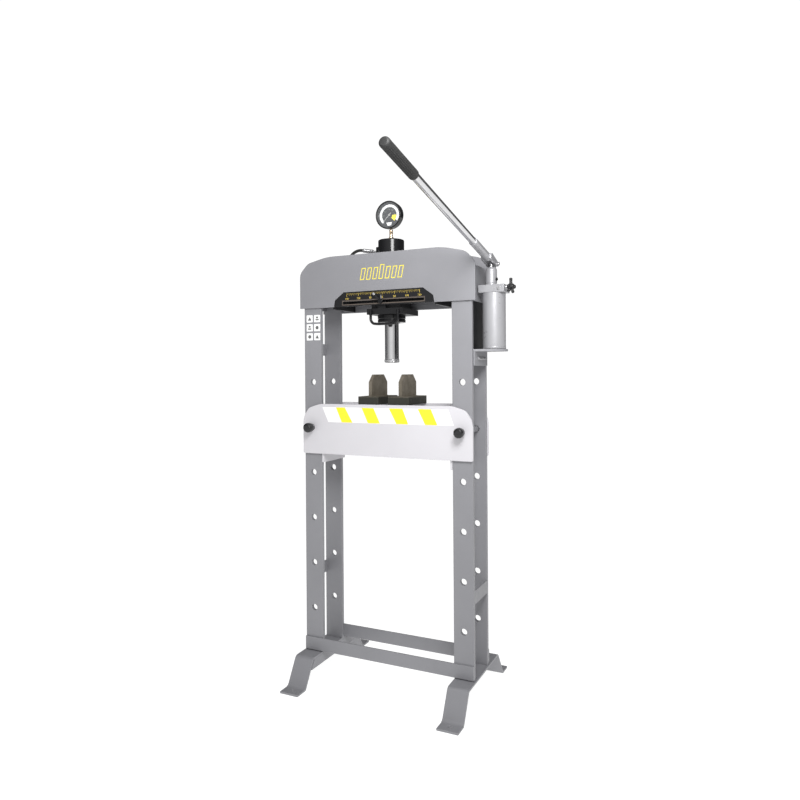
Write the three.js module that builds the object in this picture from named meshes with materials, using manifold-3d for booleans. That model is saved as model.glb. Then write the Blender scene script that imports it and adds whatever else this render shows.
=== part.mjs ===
// Hydraulic shop press: an H-frame of flat bar posts with a height-adjustable bed,
// a cylinder on a sliding carriage in the head, and a hand pump on the right side.
// Millimetres, +Z up, +X to the operator's right, -Y towards the operator.
// Everything is drawn about the middle of the frame's footprint; the last lines move
// the group so that the origin is the bottom centre of the whole press's box.
import * as THREE from 'three';
import { mergeVertices } from 'three/addons/utils/BufferGeometryUtils.js';
import Module from 'manifold-3d';

const wasm = await Module();
wasm.setup();

// ---------- driving dimensions ----------
const GAP = 0.3; // between faces that touch on the real press
const FRAME_HALF_WIDTH = 345; // outer faces of the posts
const FRAME_HALF_DEPTH = 81; // front face of a front post to the frame's middle
const POST_WIDTH = 75;
const POST_THICKNESS = 15;
const POST_TOP = 1559;
const HOLE_X = 307.5; // post holes, on the posts' centre lines
const HOLE_TOP_Z = 1144.5;
const HOLE_PITCH = 175.3;
const HOLE_COUNT = 6;
const HOLE_RADIUS = 12;
const PIN_ROW = 1; // the bed hangs on the second hole from the top
const PIN_RADIUS = 11;

const FOOT_TOP = 101; // top of the bent foot strap
const FOOT_THICKNESS = 7;
const FOOT_OUTER_X = 350;
const FOOT_WIDTH = 78;
// From the frame's middle to the top bend, the pad's inner edge and the pad's end.
const FOOT_FRONT = { knee: 146, pad: 200, end: 255 };
const FOOT_REAR = { knee: 178, pad: 242, end: 299 };
const FOOT_BEND = 12;
const ANCHOR_RADIUS = 6;

const HEAD_HALF_WIDTH = 360;
const HEAD_BOTTOM = 1430;
const HEAD_TOP = 1624;
const HEAD_THICKNESS = 8;
const WINDOW_TOP = 1484; // notch for the scale plate
const SLOT_Z = 1443.5; // slot in the scale plate
const SLOT_HALF_LENGTH = 168;

const BED_HALF_WIDTH = 348;
const BED_TOP = 1060;
const BED_BOTTOM = 868;
const BED_THICKNESS = 9;

const CYLINDER_X = -5; // where the carriage stands on its rails
const CYLINDER_RADIUS = 49.5;
const CYLINDER_BOTTOM = 1396.5;
const CYLINDER_TOP = 1682;
const BORE_RADIUS = 38;
const GLAND_RADIUS = 53;
const GLAND_BOTTOM = 1368;
const RAM_RADIUS = 26.5;
const SADDLE_BOTTOM = 1216;
const SADDLE_HEIGHT = 13;
const PISTON_BOTTOM = 1495;
const PISTON_HEIGHT = 30;

const RAIL_BOTTOM = 1456; // bars in the head that carry the carriage
const RAIL_HEIGHT = 8;
const RAIL_INNER_Y = 58;
const RIB_X = 207;

const GAUGE_Z = 1775;
const GAUGE_RADIUS = 53;

const PUMP_X = 400; // reservoir centre
const RESERVOIR_RADIUS = 41.5;
const RESERVOIR_BOTTOM = 1260.3;
const BLOCK_BOTTOM = 1459;
const BLOCK_TOP = 1487;
const BLOCK_LEFT = 353;
const BLOCK_RIGHT = 447;
const BARREL_X = 391;
const BARREL_RADIUS = 20;
const BARREL_TOP = 1551;
const LEVER_Z = 1572; // lever axis above the barrel's middle
const LEVER_RISE = 11.6 * Math.PI / 180; // lever above level, towards the operator
const LEVER_LENGTH = 868;
const FULCRUM_Y = 17; // fulcrum pin behind the barrel's middle
const UNION_Z = 1473;
const KNOB_END_X = 479;
const KNOB_Z = 1478;

// ---------- helpers ----------

// A closed geometry as a solid, with its faces pointing out.
function solid(geometry) {
  const bare = geometry.clone();
  bare.deleteAttribute('normal');
  bare.deleteAttribute('uv');
  const merged = mergeVertices(bare, 1e-3);
  const corners = merged.attributes.position.array;
  const triangles = [];
  for (let i = 0; i < merged.index.count; i += 3) {
    const [a, b, c] = merged.index.array.slice(i, i + 3);
    if (a !== b && b !== c && c !== a) triangles.push(a, b, c);
  }
  const at = (i) => new THREE.Vector3().fromArray(corners, 3 * i);
  let volume = 0;
  for (let i = 0; i < triangles.length; i += 3) {
    volume += at(triangles[i]).dot(at(triangles[i + 1]).cross(at(triangles[i + 2])));
  }
  if (volume < 0) triangles.reverse();
  return new wasm.Manifold(new wasm.Mesh({
    numProp: 3,
    vertProperties: new Float32Array(corners),
    triVerts: new Uint32Array(triangles),
  }));
}

function geometryOf(piece) {
  const mesh = piece.getMesh();
  const geometry = new THREE.BufferGeometry();
  geometry.setAttribute('position', new THREE.BufferAttribute(new Float32Array(mesh.vertProperties), 3));
  geometry.setIndex(new THREE.BufferAttribute(new Uint32Array(mesh.triVerts), 1));
  geometry.computeVertexNormals();
  return geometry;
}

const join = (first, ...rest) => rest.reduce((whole, piece) => whole.add(piece), first);
const cut = (first, ...rest) => rest.reduce((whole, piece) => whole.subtract(piece), first);

function box([x0, x1], [y0, y1], [z0, z1]) {
  const geometry = new THREE.BoxGeometry(x1 - x0, y1 - y0, z1 - z0);
  geometry.translate((x0 + x1) / 2, (y0 + y1) / 2, (z0 + z1) / 2);
  return solid(geometry);
}

// Turns a geometry made about its own Y axis to lie along x, y or z, then moves it there.
function alongAxis(geometry, axis, [x, y, z]) {
  if (axis === 'x') geometry.rotateZ(-Math.PI / 2);
  if (axis === 'z') geometry.rotateX(Math.PI / 2);
  geometry.translate(x, y, z);
  return geometry;
}

// A round bar along an axis, between two positions on it; the centre's own axis value is unused.
function rod(axis, radius, [from, to], [x, y, z], segments = 24) {
  const geometry = new THREE.CylinderGeometry(radius, radius, to - from, segments);
  const middle = (from + to) / 2;
  const centre = { x: [middle, y, z], y: [x, middle, z], z: [x, y, middle] }[axis];
  return solid(alongAxis(geometry, axis, centre));
}

// A turned piece: profile points are [radius, distance along the axis from the centre].
function turned(axis, profile, centre, segments = 24) {
  const points = profile.map(([radius, distance]) => new THREE.Vector2(radius, distance));
  return solid(alongAxis(new THREE.LatheGeometry(points, segments), axis, centre));
}

const X_AXIS = new THREE.Vector3(1, 0, 0);
const Y_AXIS = new THREE.Vector3(0, 1, 0);
const Z_AXIS = new THREE.Vector3(0, 0, 1);

// A flat outline pushed through a thickness. plane names the two axes of the outline.
function plate(plane, outline, [from, to]) {
  const shape = outline instanceof THREE.Shape
    ? outline
    : new THREE.Shape(outline.map((p) => new THREE.Vector2(...p)));
  const geometry = new THREE.ExtrudeGeometry(shape, { depth: to - from, bevelEnabled: false, curveSegments: 5 });
  geometry.translate(0, 0, from);
  const axes = { xy: [X_AXIS, Y_AXIS, Z_AXIS], xz: [X_AXIS, Z_AXIS, Y_AXIS], yz: [Y_AXIS, Z_AXIS, X_AXIS] }[plane];
  geometry.applyMatrix4(new THREE.Matrix4().makeBasis(...axes));
  return solid(geometry);
}

// An outline through points [x, y, radius], its corners rounded where a radius is given.
function rounded(points) {
  const shape = new THREE.Shape();
  points.forEach(([x, y, radius = 0], i) => {
    const here = new THREE.Vector2(x, y);
    const before = new THREE.Vector2(...points.at(i - 1).slice(0, 2));
    const after = new THREE.Vector2(...points[(i + 1) % points.length].slice(0, 2));
    const start = here.clone().add(before.sub(here).setLength(radius));
    const end = here.clone().add(after.sub(here).setLength(radius));
    if (i === 0) shape.moveTo(start.x, start.y);
    else shape.lineTo(start.x, start.y);
    if (radius) shape.quadraticCurveTo(x, y, end.x, end.y);
  });
  return shape;
}

function circle(radius, sides) {
  const turn = (i) => (2 * Math.PI * i) / sides;
  return new THREE.Shape(Array.from({ length: sides }, (_, i) => (
    new THREE.Vector2(radius * Math.cos(turn(i)), radius * Math.sin(turn(i))))));
}

// A round section swept along a path.
function swept(path, radius, sides, steps) {
  const options = { extrudePath: path, steps, bevelEnabled: false };
  return solid(new THREE.ExtrudeGeometry(circle(radius, sides), options));
}

const smoothPath = (points) => new THREE.CatmullRomCurve3(points.map((p) => new THREE.Vector3(...p)));
const mirrored = (outline) => [...outline, ...outline.map(([x, y, r]) => [-x, y, r]).reverse()];

// ---------- materials ----------
const paint = (color, roughness = 0.55, metalness = 0.1) => () => (
  new THREE.MeshStandardMaterial({ color, roughness, metalness }));
const GREY_PAINT = paint(0x8d8d92);
const LIGHT_PAINT = paint(0xd8d6db);
const BLACK_PAINT = paint(0x1c1c1e, 0.35);
const PUMP_PAINT = paint(0xb4b3b8, 0.45, 0.3);
const CHROME = paint(0xd6d6d8, 0.12, 1);
const STEEL = paint(0xa6a6a8, 0.35, 1);
const BRASS = paint(0xb08d4a, 0.35, 1);
const CAST = paint(0x3a362e, 0.7, 0.3);
const RUBBER = paint(0x161616, 0.8, 0);
const PLASTIC = paint(0x1b1b1b, 0.5, 0);
const DIAL = paint(0x2b2b2e, 0.5, 0);
const LENS = paint(0xeef2f4, 0.05, 0);
const NEEDLE_PAINT = paint(0xd8d8d8, 0.5, 0);

const press = new THREE.Group();
const carriageGroup = new THREE.Group();
carriageGroup.position.x = CYLINDER_X;
press.add(carriageGroup);
const leverGroup = new THREE.Group();
leverGroup.position.set(BARREL_X, 0, LEVER_Z);
leverGroup.rotation.x = -LEVER_RISE;
press.add(leverGroup);

function add(name, piece, material, group = press) {
  const mesh = new THREE.Mesh(geometryOf(piece), material());
  mesh.name = name;
  group.add(mesh);
}

const SIDES = [['left', -1], ['right', 1]];
const FACES = [['front', -1], ['rear', 1]];
const span = (sign, a, b) => (sign > 0 ? [a, b] : [-b, -a]);

// ---------- frame ----------
const postInnerX = FRAME_HALF_WIDTH - POST_WIDTH;
const postInnerY = FRAME_HALF_DEPTH - POST_THICKNESS;
const betweenPosts = [-postInnerY + GAP, postInnerY - GAP];
const pinZ = HOLE_TOP_Z - PIN_ROW * HOLE_PITCH;

function post(sideSign, faceSign) {
  const bar = box(span(sideSign, postInnerX, FRAME_HALF_WIDTH), span(faceSign, postInnerY, FRAME_HALF_DEPTH),
    [FOOT_TOP + GAP, POST_TOP]);
  const holes = Array.from({ length: HOLE_COUNT }, (_, row) => (
    rod('y', HOLE_RADIUS, [-FRAME_HALF_DEPTH - 1, FRAME_HALF_DEPTH + 1],
      [sideSign * HOLE_X, 0, HOLE_TOP_Z - row * HOLE_PITCH], 16)));
  return cut(bar, ...holes);
}

// Cross flats between the front and rear posts of one side.
const BATTEN_THICKNESS = 8;
const batten = (sign, heights) => (
  box(span(sign, FRAME_HALF_WIDTH - BATTEN_THICKNESS, FRAME_HALF_WIDTH), betweenPosts, heights));

// One flat bar bent into both pads, both slopes and the seat under the posts.
function footStrap(sign) {
  // One end of the strap, from the pad up to the seat: its outer face and its inner face.
  const end = ({ knee, pad, end: tip }, faceSign) => {
    const offset = FOOT_THICKNESS * Math.tan(Math.atan2(FOOT_TOP - FOOT_THICKNESS, pad - knee) / 2);
    const outer = [[tip, FOOT_THICKNESS], [pad + offset, FOOT_THICKNESS, FOOT_BEND],
      [knee + offset, FOOT_TOP, FOOT_BEND]];
    const inner = [[tip, 0], [pad, 0, FOOT_BEND / 2], [knee, FOOT_TOP - FOOT_THICKNESS, FOOT_BEND / 2]];
    const place = ([y, z, r]) => [faceSign * y, z, r];
    return [outer.map(place), inner.map(place)];
  };
  const [frontOuter, frontInner] = end(FOOT_FRONT, -1);
  const [rearOuter, rearInner] = end(FOOT_REAR, 1);
  const outline = [...rearOuter, ...frontOuter.reverse(), ...frontInner, ...rearInner.reverse()];
  const strap = plate('yz', rounded(outline), span(sign, FOOT_OUTER_X - FOOT_WIDTH, FOOT_OUTER_X));
  const middles = [-(FOOT_FRONT.pad + FOOT_FRONT.end) / 2, (FOOT_REAR.pad + FOOT_REAR.end) / 2];
  const anchors = middles.map((y) => rod('z', ANCHOR_RADIUS, [-1, FOOT_THICKNESS + 1],
    [sign * (FOOT_OUTER_X - FOOT_WIDTH / 2), y, 0], 16));
  return cut(strap, ...anchors);
}

const RIB_THICKNESS = 6;
const FOOT_RIB_BOTTOM = 60;
function footRib(sign) {
  const top = FOOT_TOP - FOOT_THICKNESS - GAP;
  const outline = [[-FOOT_FRONT.knee - 13, FOOT_RIB_BOTTOM], [FOOT_REAR.knee + 13, FOOT_RIB_BOTTOM],
    [FOOT_REAR.knee - 8, top], [-FOOT_FRONT.knee + 8, top]];
  const inner = FOOT_OUTER_X - FOOT_WIDTH;
  return plate('yz', outline, span(sign, inner, inner + RIB_THICKNESS));
}

const STRIP_HEIGHTS = [105, 154];
const baseStrip = (faceSign) => box([-FRAME_HALF_WIDTH, FRAME_HALF_WIDTH],
  span(faceSign, FRAME_HALF_DEPTH + GAP, FRAME_HALF_DEPTH + GAP + RIB_THICKNESS), STRIP_HEIGHTS);

// ---------- head ----------
const headInnerY = FRAME_HALF_DEPTH + GAP;
const headOuterY = headInnerY + HEAD_THICKNESS;
const headCorners = [[HEAD_HALF_WIDTH, 1566, 16], [324, 1604, 14], [238, HEAD_TOP]];
const windowEdge = [[164, WINDOW_TOP], [203, 1455], [207, HEAD_BOTTOM]];

function headPlateFront() {
  const outline = mirrored([...windowEdge, [HEAD_HALF_WIDTH, HEAD_BOTTOM], ...headCorners]);
  return plate('xz', rounded(outline), [-headOuterY, -headInnerY]);
}

const HEAD_REAR_BOTTOM = 1420;
const headPlateRear = () => (
  plate('xz', rounded(mirrored([[HEAD_HALF_WIDTH, HEAD_REAR_BOTTOM], ...headCorners])), [headInnerY, headOuterY]));

const UNION_RADIUS = 8.5;
function headSide(sign) {
  const side = batten(sign, [HEAD_BOTTOM, POST_TOP]);
  const hoseHole = rod('x', UNION_RADIUS + 0.7, [300, 360], [0, 0, UNION_Z], 16);
  return sign > 0 ? cut(side, hoseHole) : side;
}

const RIB_HEIGHTS = [1422, 1480];
const headRib = (sign) => box(span(sign, RIB_X, RIB_X + HEAD_THICKNESS), [-headInnerY + GAP, headInnerY - GAP],
  RIB_HEIGHTS);

const guideRail = (faceSign) => box([-RIB_X + GAP, RIB_X - GAP], span(faceSign, RAIL_INNER_Y, headInnerY - GAP),
  [RAIL_BOTTOM, RAIL_BOTTOM + RAIL_HEIGHT]);

const SLOT_HEIGHT = 11;
const SCALE_THICKNESS = 6;
function scalePlate() {
  const clearance = 0.5;
  const outline = windowEdge.map(([x, z]) => [x - clearance, z === WINDOW_TOP ? z - clearance : z]);
  const face = plate('xz', mirrored(outline), [-headOuterY + 1, -headOuterY + 1 + SCALE_THICKNESS]);
  const slotHeights = [SLOT_Z - SLOT_HEIGHT / 2, SLOT_Z + SLOT_HEIGHT / 2];
  const slot = box([-SLOT_HALF_LENGTH, SLOT_HALF_LENGTH], [-100, -70], slotHeights);
  return cut(face, slot);
}

// ---------- bed ----------
const bedInnerY = FRAME_HALF_DEPTH + GAP;
function bedPlate(faceSign) {
  const corners = [[BED_HALF_WIDTH, BED_BOTTOM, 6], [BED_HALF_WIDTH, 1008, 22], [322, 1045, 14], [271, BED_TOP]];
  const outline = mirrored(corners);
  const flat = plate('xz', rounded(outline), span(faceSign, bedInnerY, bedInnerY + BED_THICKNESS));
  const holes = SIDES.map(([, side]) => rod('y', HOLE_RADIUS, [-120, 120], [side * HOLE_X, 0, pinZ], 16));
  return cut(flat, ...holes);
}

const CHEEK_OUTER_X = 269;
const CHEEK_THICKNESS = 8;
const CHEEK_HEIGHTS = [834, 1040];
const bedCheek = (sign) => box(span(sign, CHEEK_OUTER_X - CHEEK_THICKNESS, CHEEK_OUTER_X),
  [-bedInnerY + GAP, bedInnerY - GAP], CHEEK_HEIGHTS);

const KNOB_BACK_Y = -96;
const KNOB_LENGTH = 37;
const bedPin = (sign) => rod('y', PIN_RADIUS, [KNOB_BACK_Y + GAP, 98], [sign * HOLE_X, 0, pinZ]);
function pinKnob(sign) {
  const profile = [[0, -KNOB_LENGTH], [13, -KNOB_LENGTH], [17.5, -KNOB_LENGTH + 4], [18.5, -KNOB_LENGTH + 12],
    [18, -8], [14, -2], [13, 0], [0, 0]];
  return turned('y', profile, [sign * HOLE_X, KNOB_BACK_Y, pinZ]);
}

// ---------- V-blocks ----------
const V_BASE_LENGTH = 85;
const V_BASE_DEPTH = 168;
const V_BASE_HEIGHT = 30;
const V_UPRIGHT = { thickness: 13.5, depth: 132, top: 1172, corner: 28, notch: 9 };
function vBlock(baseMiddleX, uprightX) {
  const floor = BED_TOP + GAP;
  const base = box([baseMiddleX - V_BASE_LENGTH / 2, baseMiddleX + V_BASE_LENGTH / 2],
    [-V_BASE_DEPTH / 2, V_BASE_DEPTH / 2], [floor, floor + V_BASE_HEIGHT]);
  const { thickness, depth, top, corner, notch } = V_UPRIGHT;
  const outline = mirrored([[notch, top], [depth / 2 - corner, top], [depth / 2, top - corner],
    [depth / 2, floor + V_BASE_HEIGHT - 1]]);
  outline.push([0, top - notch]);
  const upright = plate('yz', outline, [uprightX - thickness / 2, uprightX + thickness / 2]);
  return join(base, upright);
}

// ---------- carriage and cylinder ----------
function carriage() {
  const lower = box([-66, 76], [-78, 78], [CYLINDER_BOTTOM, 1418]);
  const middle = box([-56, 56], [-RAIL_INNER_Y + 1, RAIL_INNER_Y - 1], [1417, RAIL_BOTTOM + RAIL_HEIGHT + 1]);
  const upper = box([-56, 56], [-76, 76], [RAIL_BOTTOM + RAIL_HEIGHT + GAP, 1476]);
  const lockBoss = box([-20, 12], [-76, -50], [1417, RAIL_BOTTOM - GAP]);
  const bore = rod('z', CYLINDER_RADIUS + 0.5, [1300, 1500], [0, 0, 0], 32);
  const lockThread = rod('y', LOCK.studRadius + GAP, [-90, -60], [LOCK.x, 0, SLOT_Z], 16);
  return cut(join(lower, middle, upper, lockBoss), bore, lockThread);
}

const LOCK = { x: 0, studRadius: 4, hubRadius: 9, armLength: 44, armRadius: 3.5 };
function lockLever() {
  const stud = rod('y', LOCK.studRadius, [-100, -62], [LOCK.x, 0, SLOT_Z], 16);
  const hub = rod('y', LOCK.hubRadius, [-100, -headOuterY - 0.7], [LOCK.x, 0, SLOT_Z], 24);
  const armAxis = new THREE.CylinderGeometry(LOCK.armRadius, LOCK.armRadius, LOCK.armLength, 12);
  armAxis.translate(0, LOCK.armLength / 2, 0);
  armAxis.rotateX(Math.PI / 2);
  armAxis.rotateY(-Math.PI / 4);
  armAxis.translate(LOCK.x, -95, SLOT_Z);
  return join(stud, hub, solid(armAxis));
}

function cylinderBody() {
  const top = CYLINDER_TOP;
  const profile = [[BORE_RADIUS, CYLINDER_BOTTOM], [CYLINDER_RADIUS, CYLINDER_BOTTOM], [CYLINDER_RADIUS, top - 4],
    [CYLINDER_RADIUS - 4, top], [0, top], [0, 1664], [BORE_RADIUS, 1664], [BORE_RADIUS, CYLINDER_BOTTOM]];
  const portBoss = box([PORT_X, -40], [-12, 12], [PORT_Z - 13, PORT_Z + 13]);
  return join(turned('z', profile, [0, 0, 0], 32), portBoss);
}

const PORT_Z = 1647;
const PORT_X = -60;
const gland = () => cut(rod('z', GLAND_RADIUS, [GLAND_BOTTOM, CYLINDER_BOTTOM - GAP], [0, 0, 0], 32),
  rod('z', RAM_RADIUS + 0.5, [1300, 1500], [0, 0, 0], 32));

function ram() {
  const foot = SADDLE_BOTTOM + SADDLE_HEIGHT + GAP;
  const profile = [[0, foot], [RAM_RADIUS, foot], [RAM_RADIUS, PISTON_BOTTOM], [BORE_RADIUS - 0.5, PISTON_BOTTOM],
    [BORE_RADIUS - 0.5, PISTON_BOTTOM + PISTON_HEIGHT], [0, PISTON_BOTTOM + PISTON_HEIGHT]];
  return turned('z', profile, [0, 0, 0], 32);
}

function saddle() {
  const radius = RAM_RADIUS + 2;
  const profile = [[0, 0], [radius - 2, 0], [radius, 2], [radius, SADDLE_HEIGHT - 1], [radius - 1, SADDLE_HEIGHT],
    [0, SADDLE_HEIGHT]];
  return turned('z', profile, [0, 0, SADDLE_BOTTOM], 32);
}

// Return spring in the ring between ram and bore, from the gland up to the piston.
const SPRING = { radius: 32.2, wire: 2.6, turns: 7, steps: 9 };
class Helix extends THREE.Curve {
  getPoint(t) {
    const turn = 2 * Math.PI * SPRING.turns * t;
    const low = CYLINDER_BOTTOM + SPRING.wire + 1;
    const high = PISTON_BOTTOM - SPRING.wire - 1;
    const { radius } = SPRING;
    return new THREE.Vector3(radius * Math.cos(turn), radius * Math.sin(turn), low + (high - low) * t);
  }
}
const returnSpring = () => swept(new Helix(), SPRING.wire, 6, SPRING.turns * SPRING.steps);

// A thin nipple screwed into the port, and the ferrule crimped onto the hose, tilted up a little.
const FERRULE = { radius: 7.7, nippleRadius: 4.5, nippleEnd: 17, end: 62, rise: 9.8 };
const FERRULE_ROOT = [PORT_X, 0, PORT_Z - 4.5];
function hoseFerrule() {
  const { radius, nippleRadius, nippleEnd, end, rise } = FERRULE;
  const profile = [[0, -end], [radius, -end], [radius, -nippleEnd - 2], [nippleRadius, -nippleEnd],
    [nippleRadius, -4 * GAP], [0, -4 * GAP]];
  return turned('x', profile, [0, 0, 0]).rotate([0, rise, 0]).translate(FERRULE_ROOT);
}

// The hose leaves the cylinder to the left, dips into the head, passes behind the
// cylinder and ends at the union that goes through the right head side to the pump.
const HOSE_RADIUS = 5.75;
const hoseStart = FERRULE.end + 3 * GAP;
const ferruleRise = THREE.MathUtils.degToRad(FERRULE.rise);
const hoseStartX = CYLINDER_X + PORT_X - hoseStart * Math.cos(ferruleRise);
const hoseStartZ = FERRULE_ROOT[2] + hoseStart * Math.sin(ferruleRise);
const HOSE_ROUTE = [
  [hoseStartX, 0, hoseStartZ], [-138, 0, 1654.7], [-150, 0, 1653.8], [-163, 1, 1650], [-176, 4, 1643.5],
  [-189, 10, 1632.5], [-199, 19, 1617], [-204, 31, 1598], [-202, 44, 1577], [-191, 54, 1558],
  [-171, 61, 1546], [-145, 64, 1540.5], [-115, 65, 1539], [-80, 66, 1539], [-40, 66, 1539], [0, 66, 1539], [50, 65, 1538], [98, 61, 1535], [142, 52, 1526],
  [182, 38, 1512], [220, 22, 1496], [258, 8, 1481], [295, 0, UNION_Z], [317, 0, UNION_Z],
];
const hose = () => swept(smoothPath(HOSE_ROUTE), HOSE_RADIUS, 8, 40);

// Bail under the carriage for pushing it along.
const BAIL_X = 10;
function carriageHandle() {
  const y = -84;
  const half = [[0, 1359.5], [30, 1360], [46, 1363], [55, 1374], [56, 1390], [56, 1412]];
  const place = (side) => ([x, z]) => [BAIL_X + side * x, y, z];
  const route = [...half.slice(1).reverse().map(place(-1)), ...half.map(place(1))];
  return swept(smoothPath(route), 5, 8, 24);
}

// ---------- gauge ----------
const GAUGE_Y = -8; // the case hangs a little in front of its stem
const gaugeCentre = [0, GAUGE_Y, GAUGE_Z];
function gaugeCase() {
  const profile = [[GAUGE_RADIUS - 4, -18], [GAUGE_RADIUS - 2, -19], [GAUGE_RADIUS, -17], [GAUGE_RADIUS, -9],
    [GAUGE_RADIUS - 1.5, -8], [GAUGE_RADIUS - 1.5, 13], [GAUGE_RADIUS - 5, 16], [0, 16], [0, 13],
    [GAUGE_RADIUS - 4, 13], [GAUGE_RADIUS - 4, -18]];
  return turned('y', profile, gaugeCentre, 32);
}
const DISC_RADIUS = GAUGE_RADIUS - 4 - GAP;
const gaugeDial = () => rod('y', DISC_RADIUS, [GAUGE_Y - 7, GAUGE_Y - 5.5], gaugeCentre, 32);
const gaugeLens = () => rod('y', DISC_RADIUS, [GAUGE_Y - 16, GAUGE_Y - 14], gaugeCentre, 32);
function gaugeNeedle() {
  const hub = rod('y', 4, [GAUGE_Y - 11, GAUGE_Y - 7 - GAP], gaugeCentre, 12);
  const pointer = plate('xz', [[-2, 0], [0, 38], [2, 0], [1.6, -12], [-1.6, -12]], [-10.5, -9.5]);
  return join(hub, pointer.rotate([0, -135, 0]).translate(gaugeCentre));
}
function gaugeStem() {
  const bottom = CYLINDER_TOP + GAP;
  const profile = [[0, bottom], [12, bottom], [12, bottom + 9], [7.2, bottom + 11],
    [7.2, GAUGE_Z - GAUGE_RADIUS - GAP],
    [0, GAUGE_Z - GAUGE_RADIUS - GAP]];
  return turned('z', profile, [0, 0, 0], 16);
}

// ---------- pump ----------
const pumpMountPlate = () => batten(1, [1255, HEAD_BOTTOM - GAP]);

// Shelf under the reservoir with a leg bolted to the posts' outer faces.
const SHELF_TOP = RESERVOIR_BOTTOM - GAP;
function pumpBracket() {
  const legInner = FRAME_HALF_WIDTH + GAP;
  const leg = box([legInner, legInner + 6], [-70, 70], [1202, SHELF_TOP]);
  const shape = new THREE.Shape();
  shape.moveTo(legInner, -70);
  shape.lineTo(368, -60);
  shape.absarc(PUMP_X, 0, RESERVOIR_RADIUS + 6.5, -Math.PI / 2.6, Math.PI / 2.6);
  shape.lineTo(368, 60);
  shape.lineTo(legInner, 70);
  return join(leg, plate('xy', shape, [SHELF_TOP - 8, SHELF_TOP]));
}

function reservoir() {
  const wall = 3;
  const [low, high] = [RESERVOIR_BOTTOM, BLOCK_BOTTOM - GAP];
  const r = RESERVOIR_RADIUS;
  const profile = [[0, low], [r - 2, low], [r, low + 2], [r, high], [r - wall, high], [r - wall, low + wall],
    [0, low + wall]];
  return turned('z', profile, [PUMP_X, 0, 0], 32);
}

const SPINDLE_RADIUS = 5;
function pumpBlock() {
  const block = plate('xz', rounded([[BLOCK_LEFT, BLOCK_BOTTOM, 3], [BLOCK_RIGHT, BLOCK_BOTTOM, 3],
    [BLOCK_RIGHT, BLOCK_TOP, 3], [BLOCK_LEFT, BLOCK_TOP, 3]]), [-36, 36]);
  const plungerBore = rod('z', PLUNGER_RADIUS + 0.5, [1465, 1500], [BARREL_X, 0, 0]);
  const spindleBore = rod('x', SPINDLE_RADIUS + 0.5, [430, 460], [0, 0, KNOB_Z], 16);
  const valveSeat = rod('x', 9, [424, BLOCK_RIGHT], [0, 0, KNOB_Z], 16);
  return cut(join(block, valveSeat), plungerBore, spindleBore);
}

const PLUNGER_RADIUS = 8;
function pumpBarrel() {
  const low = BLOCK_TOP + GAP;
  const profile = [[PLUNGER_RADIUS + 0.5, low], [BARREL_RADIUS, low], [BARREL_RADIUS, BARREL_TOP - 8],
    [BARREL_RADIUS - 5, BARREL_TOP], [PLUNGER_RADIUS + 0.5, BARREL_TOP], [PLUNGER_RADIUS + 0.5, low]];
  return turned('z', profile, [BARREL_X, 0, 0]);
}

const plunger = () => rod('z', PLUNGER_RADIUS, [1470, LEVER_Z + 5], [BARREL_X, 0, 0]);
const pumpUnion = () => rod('x', UNION_RADIUS, [318, BLOCK_LEFT - GAP], [0, 0, UNION_Z], 16);

// One upright link behind the barrel, between the fork's ears, that holds the fulcrum pin.
const FULCRUM = [BARREL_X, FULCRUM_Y, LEVER_Z - 8];
const LINK_HALF_WIDTH = 9.5;
const LINK_EYE_RADIUS = 9;
function fulcrumLink() {
  const front = BARREL_RADIUS + 0.6;
  const back = FULCRUM_Y + LINK_EYE_RADIUS;
  const [, eyeY, eyeZ] = FULCRUM;
  const strap = plate('yz', rounded([[front, BLOCK_TOP + GAP], [back + 3, BLOCK_TOP + GAP],
    [back, BLOCK_TOP + 12], [back, eyeZ + LINK_EYE_RADIUS, 8], [eyeY - LINK_EYE_RADIUS, eyeZ + LINK_EYE_RADIUS, 8],
    [eyeY - LINK_EYE_RADIUS, BARREL_TOP + 1.5], [front, BARREL_TOP + 1.5]]), [-LINK_HALF_WIDTH, LINK_HALF_WIDTH]);
  const pinHole = rod('x', LEVER_PIN_RADIUS + 0.4, [300, 500], FULCRUM, 16);
  return cut(strap.translate([BARREL_X, 0, 0]), pinHole);
}

const LEVER_PIN_RADIUS = 5;
const leverPin = () => rod('x', LEVER_PIN_RADIUS, [BARREL_X - 24, BARREL_X + 25], FULCRUM, 16);

// Lever pieces are drawn level, pointing to -Y from the barrel's middle, inside the tilted group.
const SOCKET = { radius: 14.7, end: -200, forkEnd: -48, forkHalfWidth: 19, slotHalfWidth: 11 };
const TUBE_RADIUS = 12.2;
const GRIP = { radius: 15.5, length: 186 };
function fulcrumInLever() {
  const world = new THREE.Vector3(0, FULCRUM_Y, FULCRUM[2] - LEVER_Z);
  return world.applyAxisAngle(new THREE.Vector3(1, 0, 0), LEVER_RISE);
}

function leverSocket() {
  const pivot = fulcrumInLever();
  const barrel = rod('y', SOCKET.radius, [SOCKET.end, SOCKET.forkEnd + 8], [0, 0, 0]);
  const outline = rounded([[SOCKET.forkEnd, -13], [SOCKET.forkEnd, 13], [pivot.y + 9, pivot.z + 9, 8],
    [pivot.y + 9, pivot.z - 9, 8]]);
  const fork = plate('yz', outline, [-SOCKET.forkHalfWidth, SOCKET.forkHalfWidth]);
  const slot = box([-SOCKET.slotHalfWidth, SOCKET.slotHalfWidth], [-34, 60], [-40, 40]);
  const tubeBore = rod('y', TUBE_RADIUS + GAP, [SOCKET.end - 1, -70], [0, 0, 0]);
  const pinHole = rod('x', LEVER_PIN_RADIUS + 0.4, [-40, 40], [0, pivot.y, pivot.z], 16);
  return cut(join(barrel, fork), slot, tubeBore, pinHole);
}

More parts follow.
